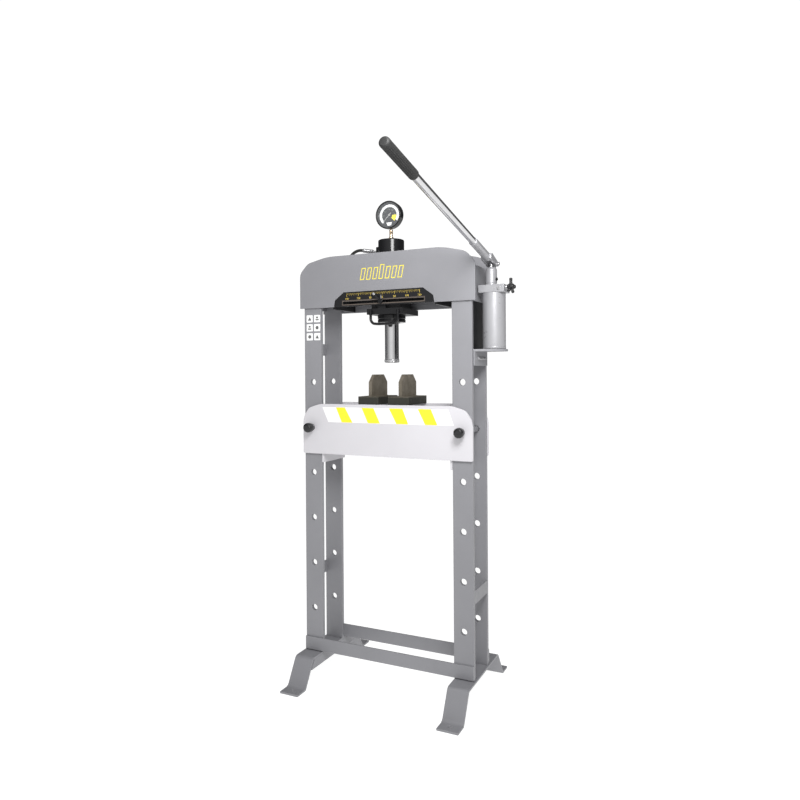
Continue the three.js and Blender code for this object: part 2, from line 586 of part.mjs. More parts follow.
const leverTube = () => cut(rod('y', TUBE_RADIUS, [-LEVER_LENGTH + 8, -70 - GAP], [0, 0, 0]),
  rod('y', TUBE_RADIUS - 2.5, [-1000, 0], [0, 0, 0], 16));
function leverGrip() {
  const end = -LEVER_LENGTH;
  const start = end + GRIP.length;
  const inner = TUBE_RADIUS + GAP;
  const profile = [[0, end], [GRIP.radius - 4, end], [GRIP.radius, end + 5], [GRIP.radius, start - 3],
    [GRIP.radius - 1.5, start], [inner, start], [inner, end + 7.5], [0, end + 7.5]];
  return turned('y', profile, [0, 0, 0]);
}

// Three-armed release valve knob on its screw.
function releaseKnob() {
  const spindle = rod('x', SPINDLE_RADIUS, [432, 458], [0, 0, KNOB_Z], 16);
  const hub = rod('x', 12, [452, KNOB_END_X - 5], [0, 0, KNOB_Z], 16);
  const nose = rod('x', 7, [465, KNOB_END_X], [0, 0, KNOB_Z], 16);
  const arms = [90, 210, 330].map((angle) => {
    const arm = new THREE.CylinderGeometry(5, 6.5, 30, 10);
    arm.translate(0, 17, 0);
    arm.rotateX(THREE.MathUtils.degToRad(angle));
    arm.translate(462, 0, KNOB_Z);
    return solid(arm);
  });
  return join(spindle, hub, nose, ...arms);
}

// ---------- assembly ----------
for (const [side, sideSign] of SIDES) {
  for (const [face, faceSign] of FACES) add(`post_${face}_${side}`, post(sideSign, faceSign), GREY_PAINT);
  add(`batten_lower_${side}`, batten(sideSign, [366, 412]), GREY_PAINT);
  add(`foot_${side}`, footStrap(sideSign), GREY_PAINT);
  add(`foot_rib_${side}`, footRib(sideSign), GREY_PAINT);
  add(`head_side_${side}`, headSide(sideSign), GREY_PAINT);
  add(`head_rib_${side}`, headRib(sideSign), GREY_PAINT);
  add(`bed_cheek_${side}`, bedCheek(sideSign), LIGHT_PAINT);
  add(`bed_pin_${side}`, bedPin(sideSign), STEEL);
  add(`pin_knob_${side}`, pinKnob(sideSign), PLASTIC);
}
add('batten_upper_left', batten(-1, [1249, 1296]), GREY_PAINT);
for (const [face, faceSign] of FACES) {
  add(`base_strip_${face}`, baseStrip(faceSign), GREY_PAINT);
  add(`guide_rail_${face}`, guideRail(faceSign), GREY_PAINT);
  add(`bed_plate_${face}`, bedPlate(faceSign), LIGHT_PAINT);
}
add('head_plate_front', headPlateFront(), GREY_PAINT);
add('head_plate_rear', headPlateRear(), GREY_PAINT);
add('scale_plate', scalePlate(), BLACK_PAINT);
add('v_block_left', vBlock(-64.5, -64.7), CAST);
add('v_block_right', vBlock(59.5, 59.7), CAST);

add('carriage', carriage(), BLACK_PAINT, carriageGroup);
add('carriage_handle', carriageHandle(), BLACK_PAINT, carriageGroup);
add('lock_lever', lockLever(), BLACK_PAINT, carriageGroup);
add('cylinder_body', cylinderBody(), BLACK_PAINT, carriageGroup);
add('cylinder_gland', gland(), BLACK_PAINT, carriageGroup);
add('hose_ferrule', hoseFerrule(), STEEL, carriageGroup);
add('hose', hose(), RUBBER);
add('ram', ram(), CHROME, carriageGroup);
add('ram_saddle', saddle(), STEEL, carriageGroup);
add('return_spring', returnSpring(), STEEL, carriageGroup);

add('gauge_stem', gaugeStem(), BRASS, carriageGroup);
add('gauge_case', gaugeCase(), BLACK_PAINT, carriageGroup);
add('gauge_dial', gaugeDial(), DIAL, carriageGroup);
add('gauge_lens', gaugeLens(), LENS, carriageGroup);
add('gauge_needle', gaugeNeedle(), NEEDLE_PAINT, carriageGroup);

add('pump_mount_plate', pumpMountPlate(), BLACK_PAINT);
add('pump_bracket', pumpBracket(), GREY_PAINT);
add('pump_reservoir', reservoir(), PUMP_PAINT);
add('pump_block', pumpBlock(), PUMP_PAINT);
add('pump_barrel', pumpBarrel(), PUMP_PAINT);
add('pump_plunger', plunger(), STEEL);
add('pump_union', pumpUnion(), STEEL);
add('fulcrum_link', fulcrumLink(), STEEL);
add('lever_pin', leverPin(), STEEL);
add('lever_socket', leverSocket(), PUMP_PAINT, leverGroup);
add('lever_tube', leverTube(), CHROME, leverGroup);
add('lever_grip', leverGrip(), RUBBER, leverGroup);
add('release_knob', releaseKnob(), PLASTIC);

// The origin goes to the bottom centre of the box around the whole press.
press.updateMatrixWorld(true);
const bounds = new THREE.Box3().setFromObject(press, true);
const middle = bounds.getCenter(new THREE.Vector3());
press.position.set(-middle.x, -middle.y, -bounds.min.z);

export default press;
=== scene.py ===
"""Looks of the hydraulic shop press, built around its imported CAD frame.

Every piece is drawn in millimetres about the middle of the press's footprint and is
then moved to the row frame, whose offset is read from the posts' own boxes.
"""

import math

import bmesh
import bpy
from mathutils import Matrix, Vector


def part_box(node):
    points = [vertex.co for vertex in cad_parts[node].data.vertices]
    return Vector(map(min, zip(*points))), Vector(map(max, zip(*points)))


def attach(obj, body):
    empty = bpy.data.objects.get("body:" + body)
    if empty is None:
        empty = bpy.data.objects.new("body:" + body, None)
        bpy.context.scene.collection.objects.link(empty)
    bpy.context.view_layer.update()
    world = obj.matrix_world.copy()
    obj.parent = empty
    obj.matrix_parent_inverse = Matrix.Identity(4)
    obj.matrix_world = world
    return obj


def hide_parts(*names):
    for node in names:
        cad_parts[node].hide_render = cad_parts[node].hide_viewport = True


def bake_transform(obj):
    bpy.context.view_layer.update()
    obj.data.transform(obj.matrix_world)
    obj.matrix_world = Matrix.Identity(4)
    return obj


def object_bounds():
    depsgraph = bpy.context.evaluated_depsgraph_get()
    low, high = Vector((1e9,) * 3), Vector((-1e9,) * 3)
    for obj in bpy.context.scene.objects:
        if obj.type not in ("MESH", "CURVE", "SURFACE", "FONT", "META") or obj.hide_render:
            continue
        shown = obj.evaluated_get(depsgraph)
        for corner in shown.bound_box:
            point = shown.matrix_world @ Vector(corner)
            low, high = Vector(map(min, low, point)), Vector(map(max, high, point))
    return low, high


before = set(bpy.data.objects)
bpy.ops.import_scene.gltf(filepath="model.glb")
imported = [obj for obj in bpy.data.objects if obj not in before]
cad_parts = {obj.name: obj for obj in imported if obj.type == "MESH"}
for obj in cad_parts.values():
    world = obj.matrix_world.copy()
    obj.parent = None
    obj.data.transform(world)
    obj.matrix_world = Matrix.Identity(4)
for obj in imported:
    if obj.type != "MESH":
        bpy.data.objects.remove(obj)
cad_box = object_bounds()
scene = bpy.context.scene
MM = 0.001
TAU = 2 * math.pi

# The middle of the posts is X = 0, Y = 0 of the drawing, and the floor is Z = 0.
front_left, front_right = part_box("post_front_left"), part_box("post_front_right")
rear_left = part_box("post_rear_left")
OFFSET = Vector((
    (front_left[0].x + front_right[1].x) / 2,
    (front_left[0].y + rear_left[1].y) / 2,
    0,
))
TO_ROW = Matrix.Translation(OFFSET) @ Matrix.Scale(MM, 4)


# ---------------------------------------------------------------- materials

def new_material(name):
    material = bpy.data.materials.new(name)
    material.use_nodes = True
    nodes = material.node_tree.nodes
    return material, nodes, material.node_tree.links, nodes["Principled BSDF"]


def noise(nodes, links, scale, detail=3.0, stretch=None):
    """A noise texture on object coordinates, in waves per metre, stretched along axes if asked."""
    coordinates = nodes.new("ShaderNodeTexCoord")
    texture = nodes.new("ShaderNodeTexNoise")
    texture.inputs["Scale"].default_value = scale
    texture.inputs["Detail"].default_value = detail
    source = coordinates.outputs["Object"]
    if stretch:
        mapping = nodes.new("ShaderNodeMapping")
        mapping.inputs["Scale"].default_value = stretch
        links.new(source, mapping.inputs["Vector"])
        source = mapping.outputs["Vector"]
    links.new(source, texture.inputs["Vector"])
    return texture.outputs["Fac"]


NOISE_LOW, NOISE_HIGH = 0.3, 0.7  # nearly all of a noise texture's values lie between these


def spread(nodes, links, value, low, high):
    """A noise texture's output spread over low to high."""
    remap = nodes.new("ShaderNodeMapRange")
    remap.inputs["From Min"].default_value = NOISE_LOW
    remap.inputs["From Max"].default_value = NOISE_HIGH
    remap.inputs["To Min"].default_value = low
    remap.inputs["To Max"].default_value = high
    links.new(value, remap.inputs["Value"])
    return remap.outputs["Result"]


def uneven(nodes, links, scale, detail, low, high):
    """A value that drifts between low and high over the surface."""
    return spread(nodes, links, noise(nodes, links, scale, detail), low, high)


def mixed_colour(nodes, links, factor, low, high):
    """From low to high as factor goes from 0 to 1. Each is a colour or another node's output."""
    mix = nodes.new("ShaderNodeMix")
    mix.data_type = "RGBA"
    links.new(factor, mix.inputs["Factor"])
    for name, colour in (("A", low), ("B", high)):
        if isinstance(colour, bpy.types.NodeSocket):
            links.new(colour, mix.inputs[name])
        else:
            mix.inputs[name].default_value = (*colour, 1)
    return mix.outputs["Result"]


def math_node(nodes, links, operation, *values):
    """A Math node's output. Each value is a number or another node's output."""
    node = nodes.new("ShaderNodeMath")
    node.operation = operation
    for socket, value in zip(node.inputs, values):
        if isinstance(value, bpy.types.NodeSocket):
            links.new(value, socket)
        else:
            socket.default_value = value
    return node.outputs["Value"]


def bumped(nodes, links, shader, height, strength, distance):
    bump = nodes.new("ShaderNodeBump")
    bump.inputs["Strength"].default_value = strength
    bump.inputs["Distance"].default_value = distance
    links.new(height, bump.inputs["Height"])
    links.new(bump.outputs["Normal"], shader.inputs["Normal"])


FLAT_DOT, TURNED_DOT = 0.995, 0.9  # how far bevelled and true normals agree: no edge, full edge


def edge_mask(nodes, links, radius):
    """1 where a surface turns within radius metres, such as along a corner, else 0."""
    bevel = nodes.new("ShaderNodeBevel")
    bevel.samples = 4
    bevel.inputs["Radius"].default_value = radius
    geometry = nodes.new("ShaderNodeNewGeometry")
    dot = nodes.new("ShaderNodeVectorMath")
    dot.operation = "DOT_PRODUCT"
    links.new(bevel.outputs["Normal"], dot.inputs[0])
    links.new(geometry.outputs["Normal"], dot.inputs[1])
    remap = nodes.new("ShaderNodeMapRange")
    remap.inputs["From Min"].default_value = FLAT_DOT
    remap.inputs["From Max"].default_value = TURNED_DOT
    remap.inputs["To Min"].default_value = 0
    remap.inputs["To Max"].default_value = 1
    links.new(dot.outputs["Value"], remap.inputs["Value"])
    return remap.outputs["Result"]


def shade(colour, factor):
    return tuple(min(1, c * factor) for c in colour)


def drifting(nodes, links, colour, darkest, lightest, scale, detail):
    """A colour that drifts over the surface between two factors of itself."""
    drift = uneven(nodes, links, scale, detail, 0, 1)
    return mixed_colour(nodes, links, drift, shade(colour, darkest), shade(colour, lightest))


RUB_WIDTH = 0.0012  # metres of rubbed paint along an edge


def paint(name, colour, roughness, peel=0.10, worn=None, change=0.05, metallic=0.0, specular=0.5):
    """Sprayed paint: slow colour drift, orange peel, uneven gloss and rubbed edges."""
    material, nodes, links, shader = new_material(name)
    body = drifting(nodes, links, colour, 1 - change, 1 + change, 5, 4)
    if worn:
        patches = uneven(nodes, links, 60, 4, 0.0, 0.6)
        rubbed = math_node(nodes, links, "MULTIPLY", edge_mask(nodes, links, RUB_WIDTH), patches)
        body = mixed_colour(nodes, links, rubbed, body, worn)
    links.new(body, shader.inputs["Base Color"])
    gloss = uneven(nodes, links, 35, 3, roughness - 0.04, roughness + 0.05)
    links.new(gloss, shader.inputs["Roughness"])
    shader.inputs["Metallic"].default_value = metallic
    shader.inputs["Specular IOR Level"].default_value = specular
    bumped(nodes, links, shader, noise(nodes, links, 700, 2), peel, 0.0004)
    return material


def metal(name, colour, roughness, stretch=(1, 1, 1), scratch=0.05, scale=400.0):
    """Bare metal with fine machining lines along the axes that stretch leaves low."""
    material, nodes, links, shader = new_material(name)
    shader.inputs["Metallic"].default_value = 1
    body = drifting(nodes, links, colour, 0.93, 1.04, 20, 3)
    links.new(body, shader.inputs["Base Color"])
    lines = noise(nodes, links, scale, 3, stretch)
    gloss = spread(nodes, links, lines, roughness * 0.75, roughness * 1.35)
    links.new(gloss, shader.inputs["Roughness"])
    bumped(nodes, links, shader, lines, scratch, 0.0002)
    return material


def moulded(name, colour, roughness, grain=600.0, depth=0.15):
    """Moulded plastic or rubber with a fine grain and a little dust in it."""
    material, nodes, links, shader = new_material(name)
    body = drifting(nodes, links, colour, 0.8, 1.35, 30, 4)
    links.new(body, shader.inputs["Base Color"])
    gloss = uneven(nodes, links, 80, 3, roughness - 0.06, roughness + 0.08)
    links.new(gloss, shader.inputs["Roughness"])
    bumped(nodes, links, shader, noise(nodes, links, grain, 3), depth, 0.0004)
    return material


# Painted shade: the cast feet are coloured near black below these heights, in place of the shade that falls
# on them.
PAINTED_FOOT_SHADE = (0.022, 0.022, 0.016)
FOOT_SHADE_HEIGHTS = (1.086, 1.092)  # the painted shade on the foot ends between these heights


def casting(name, colour, dirt, roughness):
    """Cast iron with painted shade on its foot: pitted skin, brown-green drift and dull high spots."""
    material, nodes, links, shader = new_material(name)
    shader.inputs["Metallic"].default_value = 0.2
    drift = uneven(nodes, links, 28, 6, 0, 1)
    body = mixed_colour(nodes, links, drift, colour, dirt)
    # Painted shade: the colour goes to near black below the given heights.
    height = nodes.new("ShaderNodeSeparateXYZ")
    links.new(nodes.new("ShaderNodeTexCoord").outputs["Object"], height.inputs["Vector"])
    above = nodes.new("ShaderNodeMapRange")
    above.inputs["From Min"].default_value = FOOT_SHADE_HEIGHTS[0]
    above.inputs["From Max"].default_value = FOOT_SHADE_HEIGHTS[1]
    links.new(height.outputs["Z"], above.inputs["Value"])
    body = mixed_colour(nodes, links, above.outputs["Result"], PAINTED_FOOT_SHADE, body)
    links.new(body, shader.inputs["Base Color"])
    gloss = uneven(nodes, links, 90, 4, roughness - 0.1, roughness + 0.1)
    links.new(gloss, shader.inputs["Roughness"])
    bumped(nodes, links, shader, noise(nodes, links, 260, 6), 0.35, 0.0008)
    return material


def print_ink(name, colour, roughness=0.4):
    """Screen-printed or foil marking, slightly uneven."""
    material, nodes, links, shader = new_material(name)
    body = drifting(nodes, links, colour, 0.95, 1.02, 120, 3)
    links.new(body, shader.inputs["Base Color"])
    shader.inputs["Roughness"].default_value = roughness
    shader.inputs["Specular IOR Level"].default_value = 0.25
    return material


def window_glass(name):
    material, nodes, links, shader = new_material(name)
    smear = uneven(nodes, links, 45, 4, 0.02, 0.10)
    links.new(smear, shader.inputs["Roughness"])
    shader.inputs["Base Color"].default_value = (0.9, 0.93, 0.94, 1)
    shader.inputs["Alpha"].default_value = 0.05
    shader.inputs["Specular IOR Level"].default_value = 0.3
    return material


GREY = paint("grey_paint", (0.228, 0.228, 0.243), 0.42, worn=(0.42, 0.42, 0.43))
LIGHT = paint("light_paint", (0.57, 0.56, 0.585), 0.36, peel=0.08, change=0.025)
RUBBED_BLACK = (0.05, 0.05, 0.05)
BLACK = paint("black_paint", (0.007, 0.007, 0.008), 0.16, peel=0.02, worn=RUBBED_BLACK, specular=0.35)
BLACK_SATIN = paint("black_satin", (0.010, 0.010, 0.011), 0.42, worn=RUBBED_BLACK, specular=0.25)
SILVER = paint("pump_paint", (0.37, 0.37, 0.385), 0.30, peel=0.06, worn=(0.55, 0.55, 0.56), metallic=0.35)
CHROME = metal("chrome", (0.76, 0.76, 0.77), 0.09, (1, 1, 0.02), 0.004, 900)
LEVER_CHROME = metal("lever_chrome", (0.74, 0.74, 0.75), 0.14, (1, 0.02, 1), 0.006, 900)
STEEL = metal("steel", (0.56, 0.56, 0.57), 0.30, (1, 1, 1), 0.04, 500)
TURNED = metal("turned_steel", (0.58, 0.58, 0.59), 0.28, (0.03, 0.03, 1), 0.04, 1200)
BRASS = metal("brass", (0.74, 0.58, 0.40), 0.24, (0.05, 0.05, 1), 0.03, 900)
CAST = casting("cast_iron", (0.155, 0.134, 0.106), (0.105, 0.091, 0.066), 0.62)
RUBBER = moulded("rubber", (0.010, 0.010, 0.010), 0.62, 500, 0.2)
HOSE_SKIN = moulded("hose_rubber", (0.020, 0.020, 0.018), 0.5, 420, 0.3)
PLASTIC = moulded("plastic", (0.009, 0.009, 0.010), 0.26, 300, 0.05)
DIAL_FACE = print_ink("dial_face", (0.010, 0.010, 0.016), 0.5)
WHITE_INK = print_ink("white_ink", (0.86, 0.86, 0.86))
PALE_INK = print_ink("pale_ink", (0.20, 0.23, 0.19))
YELLOW_INK = print_ink("yellow_ink", (0.90, 0.76, 0.035))
STICKER_INK = print_ink("sticker_ink", (0.12, 0.12, 0.12))
OCHRE_INK = print_ink("ochre_ink", (0.66, 0.49, 0.10))
LINER_INK = print_ink("liner_ink", (0.095, 0.078, 0.066), 0.55)
NEEDLE_PAINT = print_ink("needle_paint", (0.30, 0.30, 0.29))
GLASS = window_glass("lens_glass")


# ---------------------------------------------------------------- mesh tools

def mesh_from(bm, name="part"):
    bmesh.ops.remove_doubles(bm, verts=bm.verts, dist=1e-4)
    bmesh.ops.recalc_face_normals(bm, faces=bm.faces)
    mesh = bpy.data.meshes.new(name)
    bm.to_mesh(mesh)
    bm.free()
    return mesh


def merged(*meshes):
    bm = bmesh.new()
    for mesh in meshes:
        bm.from_mesh(mesh)
    mesh = bpy.data.meshes.new("merged")
    bm.to_mesh(mesh)
    bm.free()
    return mesh


def moved(mesh, matrix):
    mesh.transform(matrix)
    return mesh


def eased(points, reach, steps=4, closed=False):
    """Corners cut back by at most reach and rounded. A point's own third value wins over reach."""
    out = []
    count = len(points)
    for i, point in enumerate(points):
        here = Vector(point[:2])
        before = Vector(points[i - 1][:2]) - here
        after = Vector(points[(i + 1) % count][:2]) - here
        cut = point[2] if len(point) > 2 else reach
        end_point = not closed and i in (0, count - 1)
        if end_point or cut <= 0 or before.length < 1e-6 or after.length < 1e-6:
            out.append(tuple(here))
            continue
        straight = before.normalized().dot(after.normalized()) < -0.97
        if straight and len(point) < 3:
            out.append(tuple(here))
            continue
        limit = 0.48 if len(point) < 3 else 0.96
        first = here + before.normalized() * min(cut, limit * before.length)
        last = here + after.normalized() * min(cut, limit * after.length)
        for k in range(steps + 1):
            t = k / steps
            out.append(tuple((1 - t) ** 2 * first + 2 * t * (1 - t) * here + t * t * last))
    return out


AXIS_ORDER = {"x": (2, 0, 1), "y": (1, 2, 0), "z": (0, 1, 2)}


def turned_to(axis, side, up, along):
    """A point of a shape drawn about z, with its axis laid along x, y or z."""
    local = (side, up, along)
    order = AXIS_ORDER[axis]
    return Vector((local[order[0]], local[order[1]], local[order[2]]))


def lathe(profile, axis="z", centre=(0, 0, 0), segments=96, reach=0.7, ripple=None):
    """A turned piece. Profile points are (radius, distance along the axis from the centre)."""
    closed = tuple(profile[0][:2]) == tuple(profile[-1][:2])
    points = eased(profile[:-1] if closed else profile, reach, closed=closed)
    middle = Vector(centre)
    bm = bmesh.new()
    rings = []
    for radius, distance in points:
        if radius < 1e-6:
            rings.append([bm.verts.new(middle + turned_to(axis, 0, 0, distance))])
            continue
        ring = []
        for i in range(segments):
            angle = TAU * i / segments
            r = radius * (ripple(angle, distance) if ripple else 1)
            ring.append(bm.verts.new(
                middle + turned_to(axis, r * math.cos(angle), r * math.sin(angle), distance)))
        rings.append(ring)
    pairs = list(zip(rings, rings[1:])) + ([(rings[-1], rings[0])] if closed else [])
    for a, b in pairs:
        for i in range(segments):
            j = (i + 1) % segments
            if len(a) == 1 and len(b) > 1:
                bm.faces.new((a[0], b[i], b[j]))
            elif len(b) == 1 and len(a) > 1:
                bm.faces.new((a[i], b[0], a[j]))
            elif len(a) > 1:
                bm.faces.new((a[i], b[i], b[j], a[j]))
    return mesh_from(bm)


def prism(sides, across, axis, centre, span, chamfer=0.6):
    """A nut or bolt head: a regular prism whose corners lie on a circle of radius across / 2."""
    r = across / 2
    profile = [(0, span[0]), (r, span[0]), (r, span[1]), (0, span[1])]
    return lathe(profile, axis, centre, sides, chamfer)


def block(x, y, z, bevel=1.0, steps=2):
    bm = bmesh.new()
    bmesh.ops.create_cube(bm, size=1)
    for vertex in bm.verts:
        vertex.co.x = x[0] + (vertex.co.x + 0.5) * (x[1] - x[0])
        vertex.co.y = y[0] + (vertex.co.y + 0.5) * (y[1] - y[0])
        vertex.co.z = z[0] + (vertex.co.z + 0.5) * (z[1] - z[0])
    bmesh.ops.bevel(bm, geom=bm.edges[:], offset=bevel, segments=steps, profile=0.5, affect="EDGES")
    return mesh_from(bm)


PLANES = {
    "xy": Matrix.Identity(4),
    "xz": Matrix(((1, 0, 0, 0), (0, 0, 1, 0), (0, 1, 0, 0), (0, 0, 0, 1))),
    "yz": Matrix(((0, 0, 1, 0), (1, 0, 0, 0), (0, 1, 0, 0), (0, 0, 0, 1))),
}


def evaluated_mesh(obj):
    bpy.context.view_layer.update()
    graph = bpy.context.evaluated_depsgraph_get()
    mesh = bpy.data.meshes.new_from_object(obj.evaluated_get(graph))
    bpy.data.objects.remove(obj)
    return mesh


def plate(plane, outline, span, holes=(), bevel=0.8, steps=2):
    """A flat outline, with holes, pushed through span, with every edge eased."""
    curve = bpy.data.curves.new("outline", "CURVE")
    curve.dimensions = "2D"
    curve.fill_mode = "BOTH"
    for ring in (outline, *holes):
        spline = curve.splines.new("POLY")
        spline.points.add(len(ring) - 1)
        for point, (u, v, *_) in zip(spline.points, ring):
            point.co = (u, v, 0, 1)
        spline.use_cyclic_u = True
    thickness = span[1] - span[0]
    curve.extrude = thickness / 2 - bevel
    curve.bevel_depth = bevel
    curve.bevel_resolution = steps
    curve.offset = -bevel
    obj = bpy.data.objects.new("outline", curve)
    scene.collection.objects.link(obj)
    mesh = evaluated_mesh(obj)
    mesh.transform(Matrix.Translation((0, 0, (span[0] + span[1]) / 2)))
    mesh.transform(PLANES[plane])
    bm = bmesh.new()
    bm.from_mesh(mesh)
    return mesh_from(bm)


def decal(plane, outline, face, holes=(), thickness=0.18):
    """A printed or stuck-on shape, a little proud of a face at the given depth, towards -Y."""
    return plate(plane, outline, (face - thickness, face), holes, 0.02, 0)


def ring_points(u, v, radius, count=48):
    return [(u + radius * math.cos(TAU * i / count), v + radius * math.sin(TAU * i / count))
            for i in range(count)]


def mirrored(outline):
    return [*outline, *[(-p[0], *p[1:]) for p in reversed(outline)]]


def smooth_path(points, per_span=8):
    """Centripetal Catmull-Rom points through a route."""
    route = [Vector(p) for p in points]
    ends = [2 * route[0] - route[1], *route, 2 * route[-1] - route[-2]]
    out = []
    for i in range(1, len(ends) - 2):
        p = ends[i - 1:i + 3]
        knots = [0.0]
        for a, b in zip(p, p[1:]):
            knots.append(knots[-1] + math.sqrt((b - a).length))
        t0, t1, t2, t3 = knots
        for k in range(per_span):
            t = t1 + (t2 - t1) * k / per_span
            a1 = (t1 - t) / (t1 - t0) * p[0] + (t - t0) / (t1 - t0) * p[1]
            a2 = (t2 - t) / (t2 - t1) * p[1] + (t - t1) / (t2 - t1) * p[2]
            a3 = (t3 - t) / (t3 - t2) * p[2] + (t - t2) / (t3 - t2) * p[3]
            b1 = (t2 - t) / (t2 - t0) * a1 + (t - t0) / (t2 - t0) * a2
            b2 = (t3 - t) / (t3 - t1) * a2 + (t - t1) / (t3 - t1) * a3
            out.append((t2 - t) / (t2 - t1) * b1 + (t - t1) / (t2 - t1) * b2)
    out.append(route[-1])
    return out


def tube(path, radius, sides=24):
    """A round bar or hose along a path, with closed ends."""
    bm = bmesh.new()
    side = None
    rings = []
    for i, point in enumerate(path):
        ahead = path[min(i + 1, len(path) - 1)] - path[max(i - 1, 0)]
        ahead.normalize()
        if side is None:
            side = ahead.orthogonal().normalized()
        side = (side - ahead * side.dot(ahead)).normalized()
        up = ahead.cross(side)
        turns = [TAU * k / sides for k in range(sides)]
        rings.append([bm.verts.new(point + radius * (math.cos(a) * side + math.sin(a) * up))
                      for a in turns])
    for a, b in zip(rings, rings[1:]):
        for k in range(sides):
            j = (k + 1) % sides
            bm.faces.new((a[k], a[j], b[j], b[k]))
    bm.faces.new(rings[0])
    bm.faces.new(rings[-1])
    return mesh_from(bm)


def lettering(text, size, x, z, y):
    """Upright figures in the plane of a face at depth y, centred on (x, z)."""
    curve = bpy.data.curves.new("figures", "FONT")
    curve.body = text
    curve.size = size
    curve.align_x, curve.align_y = "CENTER", "CENTER"
    curve.extrude = 0.08
    curve.resolution_u = 3
    obj = bpy.data.objects.new("figures", curve)
    scene.collection.objects.link(obj)
    mesh = evaluated_mesh(obj)
    mesh.transform(Matrix.Rotation(math.pi / 2, 4, "X"))
    mesh.transform(Matrix.Translation((x, y, z)))
    return mesh


INKS = (DIAL_FACE, WHITE_INK, PALE_INK, YELLOW_INK, STICKER_INK, OCHRE_INK, LINER_INK, NEEDLE_PAINT)
SLOTS = {
    GREY: "grey_paint", LIGHT: "light_paint", BLACK: "black_paint", BLACK_SATIN: "black_paint",
    SILVER: "pump_paint", CHROME: "chrome", LEVER_CHROME: "chrome", STEEL: "steel", TURNED: "steel",
    BRASS: "brass", RUBBER: "rubber", HOSE_SKIN: "rubber", PLASTIC: "plastic", GLASS: "lens",
    **dict.fromkeys(INKS, "dial"),
}


def piece(name, mesh, material, body, replaced=(), angle=32, weighted=True):
    """Puts a drawn mesh into the row frame and onto a body, or onto none (None) if it is blended.
    """
    mesh.transform(TO_ROW)
    mesh.name = name
    for polygon in mesh.polygons:
        polygon.use_smooth = True
    mesh.set_sharp_from_angle(angle=math.radians(angle))
    mesh.materials.clear()
    mesh.materials.append(material)
    obj = bpy.data.objects.new(name, mesh)
    scene.collection.objects.link(obj)
    if weighted:
        normals = obj.modifiers.new("normals", "WEIGHTED_NORMAL")
        normals.keep_sharp = True
    if body:
        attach(obj, body)
    if replaced:
        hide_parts(*replaced)
    return obj


def printed(name, marks, ink, body="frame"):
    """Printed marks as one piece."""
    piece(name, merged(*marks), ink, body, weighted=False)


def keep(node, material, bevel=0.8):
    """A CAD node whose shape is right: joined seams, eased edges and its own material."""
    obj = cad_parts[node]
    obj.data.materials.clear()
    obj.data.materials.append(material)
    weld = obj.modifiers.new("weld", "WELD")
    weld.merge_threshold = 1e-5
    ease = obj.modifiers.new("edges", "BEVEL")
    ease.width = bevel * MM
    ease.segments = 2
    ease.limit_method = "ANGLE"
    ease.angle_limit = math.radians(30)
    normals = obj.modifiers.new("normals", "WEIGHTED_NORMAL")
    normals.keep_sharp = True


# ---------------------------------------------------------------- frame

SIDES = (("left", -1), ("right", 1))
FACES = (("front", -1), ("rear", 1))


def span_of(sign, near, far):
    return (near, far) if sign > 0 else (-far, -near)


HOLE_X, HOLE_TOP, HOLE_PITCH, HOLE_R = 307.5, 1144.5, 175.3, 12
POST_IN, POST_OUT, POST_NEAR, POST_FAR = 270, 345, 66, 81
POST_LOW, POST_TOP = 101.3, 1559
BED_PIN_Z = HOLE_TOP - HOLE_PITCH

for side, s in SIDES:
    x = span_of(s, POST_IN, POST_OUT)
    rectangle = [(x[0], POST_LOW), (x[1], POST_LOW), (x[1], POST_TOP), (x[0], POST_TOP)]
    rows = [ring_points(s * HOLE_X, HOLE_TOP - n * HOLE_PITCH, HOLE_R) for n in range(6)]
    for face, f in FACES:
        name = f"post_{face}_{side}"
        mesh = plate("xz", rectangle, span_of(f, POST_NEAR, POST_FAR), rows, 1.0)
        piece(f"flat_{name}", mesh, GREY, "frame", [name])

for node in ("batten_lower_left", "batten_lower_right", "batten_upper_left", "foot_rib_left",
             "foot_rib_right", "base_strip_front", "base_strip_rear", "head_side_left", "head_side_right"):
    keep(node, GREY)
# Head ribs and guide rails: partly real black paint, partly painted shade for the dark under the head.
for node in ("head_rib_left", "head_rib_right", "guide_rail_front", "guide_rail_rear"):
    keep(node, BLACK_SATIN)

# Feet: one bent strap each, with an anchor hole in both pads.
FOOT_TOP, FOOT_THICK, FOOT_IN, FOOT_OUT = 101, 7, 272, 350
FOOT_ENDS = ((146, 200, 255), (178, 242, 299))  # front and rear: knee, pad's inner edge, tip
ANCHOR_R, ANCHOR_RIM_R = 6, 6.9


def foot_end(knee, pad, tip, f):
    """The outer and inner lines of one end of a strap, from its tip to its knee."""
    shift = FOOT_THICK * math.tan(math.atan2(FOOT_TOP - FOOT_THICK, pad - knee) / 2)
    outer = [(f * tip, FOOT_THICK, 0), (f * (pad + shift), FOOT_THICK, 12),
             (f * (knee + shift), FOOT_TOP, 12)]
    inner = [(f * tip, 0, 0), (f * pad, 0, 6), (f * knee, FOOT_TOP - FOOT_THICK, 6)]
    return outer, inner


